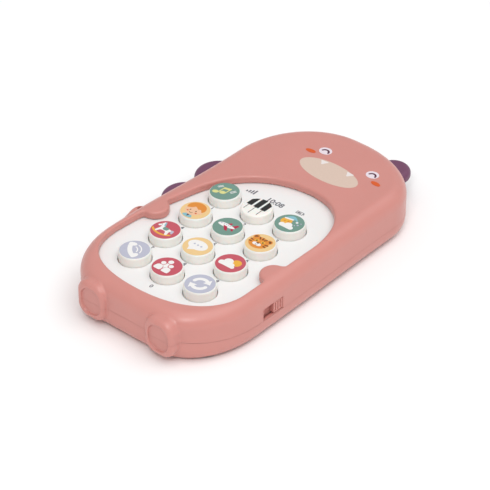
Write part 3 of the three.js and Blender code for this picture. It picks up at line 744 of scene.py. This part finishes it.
def board_material():
    """Solder mask with copper tracks showing through as a lighter, raised pattern."""
    look = Finish("board_mask")
    black, white = (0, 0, 0, 1), (1, 1, 1, 1)
    tracks = look.node("ShaderNodeTexBrick", {"Vector": look.where}, Scale=160.0, Mortar_Size=0.03,
                       Color1=black, Color2=black, Mortar=white).outputs["Color"]
    look.tones(tracks, srgb(28, 84, 52), srgb(58, 128, 84))
    look.feed(look.spread(look.noise(600.0), 0.28, 0.4), "Roughness")
    look.bumps((tracks, 0.3, 0.00003))
    return look.material


CORAL = moulded("coral_plastic", seen(216, 151, 143), gloss=(0.3, 0.37), variation=0.02, glow=0.1)
WHITE = moulded("white_plastic", seen(245, 244, 243), gloss=(0.3, 0.38), variation=0.012, glow=0.1)
KEY_WHITE = moulded("key_plastic", seen(251, 248, 242), gloss=(0.28, 0.36), variation=0.012, glow=0.4)
PURPLE = moulded("purple_plastic", seen(125, 86, 111), gloss=(0.42, 0.52), variation=0.04)
SILICONE = moulded("silicone", srgb(222, 219, 210), gloss=(0.5, 0.62), variation=0.03, glow=0.3)
RESIN = moulded("resin", srgb(26, 26, 28), gloss=(0.2, 0.4), variation=0.1)
PAPER = moulded("cone_paper", srgb(40, 40, 42), gloss=(0.7, 0.9), variation=0.12, grain=0.00008)
STEEL = plated("plated_steel", srgb(205, 207, 210))
SPRING = plated("spring_steel", srgb(214, 210, 200), rough=(0.16, 0.3))
MAGNET = plated("magnet_ferrite", srgb(110, 112, 116), rough=(0.4, 0.6))
BOARD = board_material()
RED_WIRE = moulded("red_insulation", srgb(190, 50, 46), gloss=(0.4, 0.5), variation=0.05)
BLACK_WIRE = moulded("black_insulation", srgb(34, 34, 36), gloss=(0.4, 0.5), variation=0.05)
WRAP = moulded("cell_wrap", srgb(60, 108, 88), gloss=(0.2, 0.3), variation=0.03, coat=0.3)

INK = {
    name: inked("ink_" + name, seen(*colour), 0.02)
    for name, colour in {
        "green": (124, 158, 146), "red": (204, 100, 112), "sand": (243, 207, 150),
        "lilac": (194, 195, 211), "white": (247, 245, 243), "black": (58, 54, 55),
        "grey": (112, 112, 120), "lemon": (228, 224, 152), "orange": (231, 150, 74),
        "amber": (242, 184, 82), "skin": (244, 200, 166), "brown": (130, 84, 60),
        "crimson": (190, 54, 86), "blue": (142, 194, 206), "cheek": (223, 104, 60),
        "snout": (224, 200, 185), "plum": (98, 46, 76), "eye": (240, 228, 236),
        "fang": (240, 232, 229),
    }.items()
}

# ------------ shells and fins
SHELL_LOW, SHELL_HIGH = (-57.0, -86.4, -1.0), (46.0, 83.4, 26.0)
SHELL_STEP = 0.68
shell_piece("shell_upper", upper_shell, (*SHELL_LOW[:2], 7.4), SHELL_HIGH, 1, ("upper_shell",))
shell_piece("shell_lower", lower_shell, SHELL_LOW, (*SHELL_HIGH[:2], 17.5), -1, ("lower_shell",))
field_piece("panel_white", key_panel, (-42, -77, 11.5), (41, 36, 21.5), 0.55,
            WHITE, "phone", ("key_panel",), z_step=0.4)
for fin_name, fin_x, fin_y, fin_radius in FINS:
    reach = fin_radius + 1.5
    field_piece("fin_" + fin_name, fin_field(fin_x, fin_y, fin_radius),
                (fin_x - reach, fin_y - reach, 3.5), (fin_x + reach, fin_y + reach, 16.0), 0.4,
                PURPLE, "phone", (fin_name,))
field_piece("battery_cover", battery_door, (-26, 21.5, -0.6), (26, 66, 4.4), 0.5,
            CORAL, "cover", ("battery_door",), z_step=0.3)
field_piece("slide_knob", switch_knob, (37, -42.2, 7.4), (44.5, -20.2, 16.8), 0.22,
            CORAL, "switch", ("switch_knob",))


# ------------ keys
def key_profile():
    under = PANEL_TOP - PANEL_THICK - GAP
    side, shoulder = KEY_RADIUS - 0.05, KEY_TOP - KEY_EDGE
    low = softened([
        (0.0, KEY_FOOT), (3.0, KEY_FOOT), (3.0, under - 1.2), (8.4, under - 1.2), (8.4, under),
        (KEY_RADIUS, under), (side, shoulder - 0.2),
    ], 0.25)
    turns = np.linspace(0, math.pi / 2, 9)
    top = [(side - KEY_EDGE + KEY_EDGE * math.cos(t), shoulder + KEY_EDGE * math.sin(t)) for t in turns]
    return low + top + [(0.0, KEY_TOP)]


key_points, key_faces, _ = lathe(key_profile(), 96)
for key_name, (key_x, key_y) in KEYS.items():
    add_piece("cap_" + key_name, key_points + (key_x, key_y, 0), key_faces, [KEY_WHITE],
              "push_key_" + key_name, ("key_" + key_name,), sharp=40)


# ------------ silicone sheet and its domes
SHEET_BOTTOM, SHEET_TOP = 12.9, 14.1
DOME_TOP, DOME_RADIUS = 16.1, 4.8


def silicone_sheet(x, y, z):
    solid = slab(oblong(x, y - KEY_GRID_Y, (28, 39.5), 6), z, SHEET_BOTTOM, SHEET_TOP, 0.3, 0.3)
    for centre in KEYS.values():
        solid = without(solid, away(x, y, centre) - DOME_RADIUS - 0.2)
    for centre in BOARD_POSTS:
        solid = without(solid, away(x, y, centre) - 2.6)
    return solid


field_piece("sheet_silicone", silicone_sheet, (-29, -65, 12.4), (29, 16, 14.6), 0.8,
            SILICONE, "phone", ("key_membrane",), z_step=0.4)
dome_points, dome_faces, _ = lathe(softened([
    (0, SHEET_BOTTOM), (DOME_RADIUS - 0.1, SHEET_BOTTOM), (DOME_RADIUS, SHEET_TOP),
    (3.4, DOME_TOP), (0, DOME_TOP)], 0.5), 48)
for key_name, (key_x, key_y) in KEYS.items():
    dome = add_piece("dome_" + key_name, dome_points + (key_x, key_y, 0), dome_faces, [SILICONE],
                     "phone", sharp=50)
    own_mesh(dome)


# ------------ flat shapes for the prints
def leaning(points, cx, cy, tilt):
    """A shape turned by the tilt, in degrees, and moved to a place."""
    c, s = math.cos(math.radians(tilt)), math.sin(math.radians(tilt))
    return [(cx + a * c - b * s, cy + a * s + b * c) for a, b in points]


def oval(cx, cy, rx, ry=None, tilt=0.0, start=0.0, end=360.0, steps=44):
    ry = rx if ry is None else ry
    full = abs(end - start) >= 360
    turn = np.radians(np.linspace(start, end, steps, endpoint=not full))
    return leaning(zip(rx * np.cos(turn), ry * np.sin(turn)), cx, cy, tilt)


def pill(x0, y0, x1, y1, radius):
    heading = math.degrees(math.atan2(y1 - y0, x1 - x0))
    far = oval(x1, y1, radius, start=heading - 90, end=heading + 90, steps=12)
    near = oval(x0, y0, radius, start=heading + 90, end=heading + 270, steps=12)
    return far + near


def arc_band(cx, cy, radius, width, start, end):
    """A thick arc with round ends."""
    outer = oval(cx, cy, radius + width / 2, start=start, end=end, steps=28)
    inner = oval(cx, cy, radius - width / 2, start=end, end=start, steps=28)
    tip, root = (oval(cx, cy, radius, start=a, end=a + 1, steps=2)[0] for a in (end, start))
    cap_tip = oval(*tip, width / 2, start=end, end=end + 180, steps=10)
    cap_root = oval(*root, width / 2, start=start + 180, end=start + 360, steps=10)
    return outer + cap_tip + inner + cap_root


def rectangle(x0, y0, x1, y1):
    return [(x0, y0), (x1, y0), (x1, y1), (x0, y1)]


def flowing(points, steps=7):
    """A smooth closed curve through the points."""
    p = np.array(points, float)
    out = []
    for i in range(len(p)):
        a, b, c, d = p[i - 1], p[i], p[(i + 1) % len(p)], p[(i + 2) % len(p)]
        for t in np.linspace(0, 1, steps, endpoint=False):
            out.append(tuple(0.5 * (2 * b + (c - a) * t + (2 * a - 5 * b + 4 * c - d) * t ** 2
                                    + (3 * b - a - 3 * c + d) * t ** 3)))
    return out


INK_LIFT = 0.02


def print_piece(name, loops, centre, height, body):
    """Stacks inks on a flat face: each shape lies a hair above the one before it."""
    points, faces, used, which = [], [], [], []
    for layer, (ink, loop) in enumerate(loops):
        area = sum(x0 * y1 - x1 * y0 for (x0, y0), (x1, y1) in zip(loop, loop[1:] + loop[:1]))
        loop = loop if area > 0 else loop[::-1]
        if ink not in used:
            used.append(ink)
        count, start = len(loop), len(points)
        top = height + INK_LIFT * (1 + layer * 0.6)
        for z in (height - INK_LIFT, top):
            points += [(centre[0] + x, centre[1] + y, z) for x, y in loop]
        faces.append(tuple(range(start + count, start + 2 * count)))
        which.append(used.index(ink))
        for i in range(count):
            j = (i + 1) % count
            faces.append((start + i, start + j, start + count + j, start + count + i))
            which.append(used.index(ink))
    add_piece(name, points, faces, [INK[ink] for ink in used], body, which=which)


DISC = 6.7


def inks(*layers):
    """Layers from the lowest up, each an ink and then its shapes, as pairs of ink and shape."""
    return [(ink, shape) for ink, *shapes in layers for shape in shapes]


def disc(ink):
    return ink, oval(0, 0, DISC)


def icon_music():
    return inks(
        disc("green"),
        ("lemon", oval(-3.3, -2.6, 1.5, 1.15, 20), oval(-0.2, -1.3, 1.5, 1.15, 20),
         pill(-2.05, -2.3, -1.8, 2.2, 0.26), pill(1.05, -1.0, 1.3, 3.1, 0.26),
         [(-2.1, 2.4), (-2.1, 1.1), (1.55, 2.0), (1.55, 3.3)]),
        ("white", pill(-4.9, 1.0, -3.6, 3.0, 0.16), pill(-4.2, 0.7, -2.9, 2.7, 0.16),
         pill(2.4, 0.9, 3.7, 3.2, 0.16), pill(3.2, 0.5, 4.5, 2.8, 0.16)),
    )


def icon_piano():
    keys = []
    half, foot, line = 1.4, -0.4, 0.13
    for x in (-4.3, -0.4, 3.5):
        reach = [math.sqrt(max(DISC ** 2 - edge ** 2, 0)) for edge in (x + half, x, x - half)]
        keys.append([(x - half, foot), (x + half, foot), (x + half, reach[0]), (x, reach[1]),
                     (x - half, reach[2])])
        keys.append(rectangle(x - line, 1 - reach[1], x + line, foot))
    return inks(("black", *keys))


def icon_moon():
    return inks(
        disc("green"),
        ("amber", oval(-2.2, 0.5, 2.7)),
        ("orange", oval(-3.0, 0.3, 0.5), oval(-1.2, 0.7, 0.5)),
        ("blue", flowing([(-3.9, 2.4), (-3.2, 4.3), (-1.2, 5.3), (0.9, 4.3), (2.3, 2.6), (0.7, 3.3),
                          (-0.4, 2.8)])),
        ("white", pill(-4.0, 2.2, -0.4, 2.9, 0.45), oval(2.4, 2.3, 0.6), oval(-2.3, -2.6, 1.4),
         oval(0.5, -1.6, 1.9), oval(2.6, -2.7, 1.2), pill(-2.6, -3.1, 2.8, -3.1, 0.8)),
        ("lilac", oval(3.9, 0.9, 0.45), oval(4.4, 2.6, 0.3), oval(2.9, -0.2, 0.3)),
    )


def icon_child():
    return inks(
        disc("sand"),
        ("blue", flowing([(-2.9, -5.5), (-1.9, -4.0), (-0.4, -3.8), (1.1, -4.0), (2.1, -5.5),
                          (-0.4, -6.2)])),
        ("orange", oval(-0.7, 1.9, 4.7, 3.9)),
        ("skin", oval(-4.3, -0.9, 0.85), oval(3.4, -0.5, 0.85), oval(-0.5, -0.9, 3.8, 3.3)),
        ("orange", flowing([(-4.4, 0.2), (-4.0, 3.2), (-0.6, 4.3), (3.2, 3.0), (3.5, 0.4), (2.2, 1.8),
                            (0.6, 1.2), (-1.4, 2.2), (-2.6, 0.9)])),
        ("brown", oval(-2.1, -0.9, 0.3, 0.45), oval(0.9, -0.6, 0.3, 0.45)),
        ("cheek", oval(-2.8, -2.0, 0.55, 0.35), oval(1.8, -1.8, 0.55, 0.35)),
        ("brown", arc_band(-0.6, -1.9, 0.9, 0.2, 205, 335)),
        ("plum", [(-0.9, -4.2), (0.1, -4.2), (-0.4, -5.6)]),
    )


def icon_plane():
    windows = [oval(x, y, 0.3) for x, y in ((-2.4, 0.8), (-1.3, 0.85), (-0.2, 0.85), (0.9, 0.75))]
    return inks(
        disc("green"),
        ("crimson", [(1.3, 0.7), (3.0, 3.3), (4.2, 3.3), (3.5, 0.2)],
         [(1.9, -0.1), (3.2, -1.7), (4.1, -1.7), (3.4, 0.2)],
         [(-1.5, 1.2), (-0.2, 2.9), (0.7, 2.9), (0.6, 1.2)]),
        ("white", flowing([(-5.2, 0.0), (-4.2, 1.1), (-1.6, 1.6), (1.8, 1.2), (3.7, 0.5), (1.8, -0.5),
                           (-1.6, -1.0), (-4.4, -0.8)])),
        ("crimson", [(-2.2, -0.1), (0.0, -0.2), (1.9, -2.9), (0.4, -2.9)]),
        ("lilac", oval(-3.9, 0.6, 0.55, 0.3), *windows),
    )


def icon_cub():
    middle = -0.7
    layers = [disc("sand")]
    for side in (-1, 1):
        layers.append(("orange", oval(middle + 3.6 * side, 2.7, 1.5)))
        layers.append(("brown", oval(middle + 3.7 * side, 2.7, 0.9)))
    layers.append(("orange", oval(middle, -0.3, 4.8, 4.1)))
    stripes = ((3.4, -0.1, 4.7, 0.2), (3.4, -1.3, 4.5, -1.5), (1.1, 2.2, 1.9, 3.2))
    for side in (-1, 1):
        layers.append(("brown", *(pill(middle + side * x0, y0, middle + side * x1, y1, 0.3)
                                  for x0, y0, x1, y1 in stripes)))
        layers.append(("amber", oval(middle + 1.7 * side, 0.7, 1.1, 0.8)))
        layers.append(("black", oval(middle + 1.7 * side, 0.5, 0.42)))
    return inks(
        *layers,
        ("brown", pill(middle, 2.3, middle, 3.3, 0.3)),
        ("white", oval(middle - 0.9, -1.7, 1.3, 1.0), oval(middle + 0.9, -1.7, 1.3, 1.0)),
        ("brown", oval(middle, -0.9, 0.7, 0.5), arc_band(middle, -1.5, 0.7, 0.18, 215, 325)),
    )


def icon_horse():
    return inks(
        disc("red"),
        ("amber", arc_band(-0.7, 4.0, 7.8, 1.0, 231, 309)),
        ("lilac", flowing([(2.4, 1.1), (3.9, 1.3), (4.3, -0.9), (3.3, -0.5)])),
        ("white", flowing([(2.7, 0.8), (1.4, 1.3), (-1.0, 1.1), (-2.0, 2.6), (-3.4, 4.3), (-4.3, 2.6),
                           (-5.2, 1.4), (-4.6, 0.8), (-3.3, 1.4), (-3.3, -0.4), (-3.8, -2.4), (-2.9, -3.0),
                           (-1.8, -1.1), (0.7, -1.1), (1.9, -3.0), (2.9, -2.6), (2.5, -0.8)])),
        ("green", flowing([(-1.6, 1.4), (0.9, 1.5), (0.8, -0.2), (-1.2, -0.3)])),
        ("blue", flowing([(-1.6, 1.9), (-2.6, 4.1), (-3.1, 4.6), (-3.0, 3.2), (-2.2, 1.8)])),
        ("black", oval(-3.9, 2.3, 0.22)),
    )


def icon_chat():
    return inks(
        disc("sand"),
        ("white", [(-3.4, -1.4), (-2.3, -4.4), (0.6, -2.4)], oval(-0.4, 0.7, 4.9, 3.4)),
        ("lilac", *(oval(x, 0.7, 0.5) for x in (-2.3, -0.4, 1.5))),
    )


def icon_weather():
    return inks(
        disc("red"),
        ("amber", oval(2.2, 1.5, 2.3)),
        ("white", oval(-3.6, -1.6, 1.5), oval(-1.4, 0.4, 2.2), oval(1.2, -1.2, 1.6),
         pill(-3.7, -2.0, 2.6, -2.0, 0.95)),
    )


def icon_call():
    ends = []
    for angle in (201, 250):
        place_on_arc = oval(6.0, 6.4, 10.1, start=angle, end=angle + 1, steps=2)[0]
        ends.append(oval(*place_on_arc, 1.9, 1.25, angle))
    waves = [arc_band(-1.3, -1.0, radius, 0.55, 8, 82) for radius in (2.9, 4.6)]
    return inks(disc("lilac"), ("white", arc_band(6.0, 6.4, 10.9, 2.1, 200, 251), *ends, *waves))


def icon_friends():
    layers = [disc("red")]
    for x, y, size in ((-0.7, 1.1, 0.95), (-2.9, -1.0, 0.85), (1.5, -1.1, 0.85)):
        head, radius = (x, y + 2.5 * size), 1.35 * size
        body = flowing([(x + a * size, y + b * size) for a, b in (
            (-2.1, -3.1), (-1.8, -0.1), (0, 0.8), (1.8, -0.1), (2.1, -3.1), (0, -3.5))])
        edge = [(x + (a - x) * 1.17, y + (b - y) * 1.1) for a, b in body]
        layers.append(("red", oval(*head, radius + 0.35), edge))
        layers.append(("white", oval(*head, radius), body))
    return inks(*layers)


def icon_swap():
    shapes = []
    radius = 3.5
    for start, tip_at in ((172, 62), (352, 242)):
        tip = math.radians(tip_at)
        out = np.array([math.cos(tip), math.sin(tip)])
        along = np.array([out[1], -out[0]])
        corners = ((radius + 2.1) * out, (radius - 2.1) * out, radius * out + 2.7 * along)
        shapes.append(arc_band(0, 0, radius, 1.7, tip_at, start))
        shapes.append([tuple(corner) for corner in corners])
    return inks(disc("lilac"), ("white", *shapes))


ICONS = dict(zip(KEYS, (
    icon_music, icon_piano, icon_moon, icon_child, icon_plane, icon_cub,
    icon_horse, icon_chat, icon_weather, icon_call, icon_friends, icon_swap,
)))
for key_name, draw in ICONS.items():
    print_piece("print_" + key_name, draw(), KEYS[key_name], KEY_TOP, "push_key_" + key_name)

# ------------ face and panel marks
SNOUT = (6.35, 47.75)
SNOUT_SIZE = (16.5, 7.2)
FANGS = ((-0.6, 4), (14.6, -4))
FANG_DROP = 0.75
EYES = ((-5.8, 60.4), (22.7, 59.1))
CHEEKS = ((-11.2, 56.2, 4), (28.2, 54.4, -6))


def face_loops():
    layers = [("snout", oval(*SNOUT, *SNOUT_SIZE, -2.4, steps=80))]
    fang = flowing([(-1.9, 0.2), (-0.2, 0.3), (1.9, 0.2), (1.1, -1.2), (0.0, -2.7), (-1.1, -1.2)])
    for x, tilt in FANGS:
        edge = SNOUT[1] + SNOUT_SIZE[1] * math.sqrt(1 - ((x - SNOUT[0]) / SNOUT_SIZE[0]) ** 2)
        layers.append(("fang", leaning(fang, x, edge - FANG_DROP, tilt)))
    for x, y in EYES:
        layers.append(("eye", oval(x, y, 3.2, 2.75)))
        layers.append(("plum", arc_band(x + 0.2, y - 0.9, 1.85, 0.95, 5, 160)))
    return inks(*layers, ("cheek", *(oval(x, y, 2.65, 1.25, tilt) for x, y, tilt in CHEEKS)))


print_piece("face_print", face_loops(), (0, 0), BODY_TOP, "phone")


def figure_loops(text, size, x, y, ink):
    """The facets of figures in the built-in typeface, each with its ink."""
    curve = bpy.data.curves.new("figures", "FONT")
    curve.body, curve.size = text, size
    curve.align_x, curve.align_y = "CENTER", "CENTER"
    curve.resolution_u = 4
    curve.offset = size * 0.022
    holder = new_object("figures", curve)
    bpy.context.view_layer.update()
    mesh = holder.to_mesh()
    polygons = [(ink, [(x + mesh.vertices[v].co.x, y + mesh.vertices[v].co.y) for v in face.vertices])
                for face in mesh.polygons]
    holder.to_mesh_clear()
    bpy.data.objects.remove(holder)
    bpy.data.curves.remove(curve)
    return polygons


def flat_print(name, loops, height, body):
    """Many small facets of one ink, all in one layer."""
    points, faces = [], []
    for _, loop in loops:
        start = len(points)
        points += [(x, y, height + INK_LIFT) for x, y in loop]
        faces.append(tuple(range(start, start + len(loop))))
    add_piece(name, points, faces, [INK[loops[0][0]]], body)


def panel_loops():
    loops = []
    under = -9.4
    small, large = 3.0, 4.3
    for number, (key_x, key_y) in enumerate(list(KEYS.values())[:9], 1):
        loops += figure_loops(str(number), small, key_x + 0.5, key_y + under, "grey")
    loops += figure_loops("0", small, 0.4, KEYS["friends"][1] + under - 1.2, "grey")
    loops += figure_loops("10:08", large, 0.0, 17.7, "grey")
    for step in range(4):
        x = -16.3 + 1.3 * step
        loops.append(("grey", rectangle(x, 16.4, x + 0.75, 17.6 + 0.75 * step)))
    left, right, low, high, line = 11.6, 15.4, 17.9, 19.9, 0.3
    return loops + [("grey", rectangle(*sides)) for sides in (
        (left, low, right, low + line), (left, high - line, right, high),
        (left, low, left + line, high), (right - line, low, right, high),
        (right + 0.05, low + 0.6, right + 0.5, high - 0.6),
        (left + 0.6, low + 0.6, left + 2.6, high - 0.6))]


flat_print("panel_print", panel_loops(), PANEL_TOP, "phone")


# ------------ screws, cells, springs, speaker
def screw_field(head_radius, head_height, shank_radius, length):
    def field(x, y, z):
        r = np.hypot(x, y)
        head = slab(r - head_radius, z, 0, head_height, min(0.7, head_height / 2), 0.1)
        thread = 0.1 * np.sin(np.arctan2(y, x) - 2 * math.pi * z / 0.8)
        shank = slab(r - shank_radius + 0.1 - thread, z, head_height - 0.1, head_height + length,
                     0, shank_radius / 2)
        arm = head_radius * 0.55
        cross = np.minimum(oblong(x, y, (arm, 0.28), 0.1), oblong(x, y, (0.28, arm), 0.1))
        return without(np.minimum(head, shank), slab(cross, z, -5, head_height * 0.62), 0.08)
    return field


def screws(field, reach, height, spots):
    points, faces, _ = surface(field, (-reach, -reach, -0.4), (reach, reach, height), 0.25)
    points, normals = settled(field, points)
    for node, x, y, base, body in spots:
        add_piece("turned_" + node, points + (x, y, base), faces, [STEEL], body, (node,), normals)


POST_NAMES = ("head_left", "head_right", "foot_left", "foot_right")
screws(screw_field(2.5, 1.5, 1.2, 10.8), 3.0, 12.8, [
    ("shell_screw_" + name, x, y, SCREW_SEAT - GAP - 1.5, "phone")
    for name, (x, y) in zip(POST_NAMES, SHELL_POSTS)])
screws(screw_field(2.2, 0.9, 1.1, 6.0), 2.7, 7.4, [
    ("battery_door_screw", 0, DOOR_SCREW_Y, GAP + 0.1, "cover")])
screws(screw_field(1.9, 1.4, 0.85, 5.0), 2.4, 7.0, [
    (f"board_screw_{i + 1}", x, y, 9.3, "phone") for i, (x, y) in enumerate(BOARD_POSTS)])


def along_x(points, start, y, z, direction):
    """Lays a turned form down along X."""
    p = np.asarray(points)
    return np.column_stack([start + direction * p[:, 2], y + p[:, 0], z + direction * p[:, 1]])


CELL_Z = 8.0
CELL_PITCH = 11.3
CELL_PROFILE = softened([
    (0, 0), (4.4, 0), (4.5, 0.25), (5.25, 0.3), (5.25, 43.3), (4.6, 43.35), (4.5, 43.6), (1.9, 43.6),
    (1.8, 44.5), (0, 44.5)], 0.3)
BARE_STEEL = 4.6  # the wrap covers what is farther from the cell's axis
CONTACT_X = BAY_HALF_WIDTH - GAP - 0.5
COIL_TURNS = 4.5
COIL_RADIUS, COIL_NARROWING = 3.4, 1.4
COIL_HEIGHT = 2.2
COIL_WIRE_RADIUS = 0.28
for row in (-1, 0, 1):
    cell_y = sum(BAY_Y) / 2 + row * CELL_PITCH
    plus = -1 if row == 0 else 1
    points, faces, bands = lathe(CELL_PROFILE, 64)
    radii = [(CELL_PROFILE[b][0] + CELL_PROFILE[b + 1][0]) / 2 for b in bands]
    kinds = [int(r < BARE_STEEL) for r in radii]
    points = along_x(points, -plus * (CONTACT_X - 3.4), cell_y, CELL_Z, plus)
    add_piece(f"cell_{row + 2}", points, faces, [WRAP, STEEL], "phone", (f"battery_{row + 2}",),
              which=kinds, sharp=35)
    turns = np.linspace(0, COIL_TURNS * 2 * math.pi, 110)
    grow = turns / turns[-1]
    radius = COIL_RADIUS - COIL_NARROWING * grow
    coil = np.column_stack([radius * np.cos(turns), radius * np.sin(turns), 0.3 + COIL_HEIGHT * grow])
    coil = along_x(coil, -plus * (CONTACT_X - GAP), cell_y, CELL_Z, plus)
    path = bpy.data.curves.new(f"coil_{row + 2}", "CURVE")
    path.dimensions = "3D"
    line = path.splines.new("POLY")
    line.points.add(len(coil) - 1)
    for point, co in zip(line.points, coil * MM):
        point.co = (*co, 1)
    path.bevel_depth = COIL_WIRE_RADIUS * MM
    path.bevel_resolution = 3
    path.use_fill_caps = True
    path.materials.append(SPRING)
    place(new_object(f"coil_{row + 2}", path), "phone", (f"contact_spring_{row + 2}",))

SPEAKER_PARTS = (
    ("speaker_frame", STEEL, "steel", [
        (0, 5.4), (8.4, 5.4), (12.4, 3.2), (12.4, 2.6), (13.5, 2.6), (13.5, 3.8), (12.8, 3.8),
        (8.8, 6.2), (0, 6.2)]),
    ("speaker_cone", PAPER, "cone_paper", [
        (0, 4.3), (4, 4.3), (11.4, 2.5), (11.9, 2.5), (11.9, 2.8), (11.4, 2.9), (4.2, 4.8), (0, 4.8)]),
    ("speaker_magnet", MAGNET, "magnet", [
        (0, 6.5), (7, 6.5), (7.4, 6.9), (7.4, 9.6), (7, 9.9), (0, 9.9)]),
)
for node, material, slot, profile in SPEAKER_PARTS:
    points, faces, _ = lathe(softened(profile, 0.25), 72)
    points = points + (0, SPEAKER_Y, 0)
    add_piece("round_" + node, points, faces, [material], "phone", (node,), sharp=40)

KEPT = {
    "circuit_board": BOARD, "chip_blob": RESIN, "switch_body": STEEL,
    "contact_plate_left_outer": SPRING, "contact_plate_left_bridge": SPRING,
    "contact_plate_right_bridge": SPRING, "contact_plate_right_outer": SPRING,
    "battery_wire_red": RED_WIRE, "speaker_wire_red": RED_WIRE,
    "battery_wire_black": BLACK_WIRE, "speaker_wire_black": BLACK_WIRE,
}
for node, material in KEPT.items():
    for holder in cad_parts[node].material_slots:
        holder.material = material

# ------------ stage
AZIMUTH, ELEVATION = math.radians(40.905), math.radians(35.674)
LENS_MM, SENSOR_MM = 183.67, 36.0
CAMERA_PLACE = Vector((0.59381, -0.68831, 0.65936))


def add_camera():
    data = bpy.data.cameras.new("camera")
    data.lens, data.sensor_width = LENS_MM, SENSOR_MM
    camera = new_object("camera", data)
    turn = Euler((math.pi / 2 - ELEVATION, 0, AZIMUTH))
    camera.matrix_world = Matrix.LocRotScale(CAMERA_PLACE, turn, None)
    bpy.context.scene.camera = camera


def add_floor():
    size = 6.0
    mesh = bpy.data.meshes.new("floor")
    corners = [(x, y, 0) for x, y in rectangle(-size, -size, size, size)]
    mesh.from_pydata(corners, [], [(0, 1, 2, 3)])
    look = Finish("floor_pale")
    look.tones(look.spread(look.noise(3.0)), (0.93, 0.93, 0.93, 1), (0.95, 0.95, 0.95, 1))
    look.shader.inputs["Roughness"].default_value = 0.9
    mesh.materials.append(look.material)
    floor = new_object("floor", mesh)
    floor.location.z = -0.00005


def add_lamp(name, data, place_m, towards, strength):
    """Adds a lamp that shines towards a direction."""
    data.energy = strength
    lamp = new_object(name, data)
    lamp.location = place_m
    lamp.rotation_euler = Vector(towards).to_track_quat("-Z", "Y").to_euler()


def add_softbox(name, place_m, size_m, power):
    """A rectangular light that shines at the middle of the object."""
    data = bpy.data.lights.new(name, "AREA")
    data.shape, data.size, data.size_y = "RECTANGLE", *size_m
    add_lamp(name, data, place_m, -Vector(place_m), power)


def add_sun(name, towards, spread_degrees, strength):
    data = bpy.data.lights.new(name, "SUN")
    data.angle = math.radians(spread_degrees)
    add_lamp(name, data, (0, 0, 0), towards, strength)


def add_world(strength):
    world = bpy.data.worlds.new("studio")
    world.use_nodes = True
    background = world.node_tree.nodes["Background"]
    background.inputs["Color"].default_value = (1, 1, 1, 1)
    background.inputs["Strength"].default_value = strength
    bpy.context.scene.world = world


bpy.context.scene.view_settings.view_transform = "Standard"
add_camera()
add_floor()
add_world(0.55)
add_sun("wide_sun", (-0.34, 0.02, -0.94), 60, 1.3)
add_softbox("camera_softbox", (0.40, -0.66, 0.86), (0.24, 0.24), 2.7)
add_softbox("back_softbox", (0.30, 0.80, 0.95), (0.8, 0.4), 0.9)
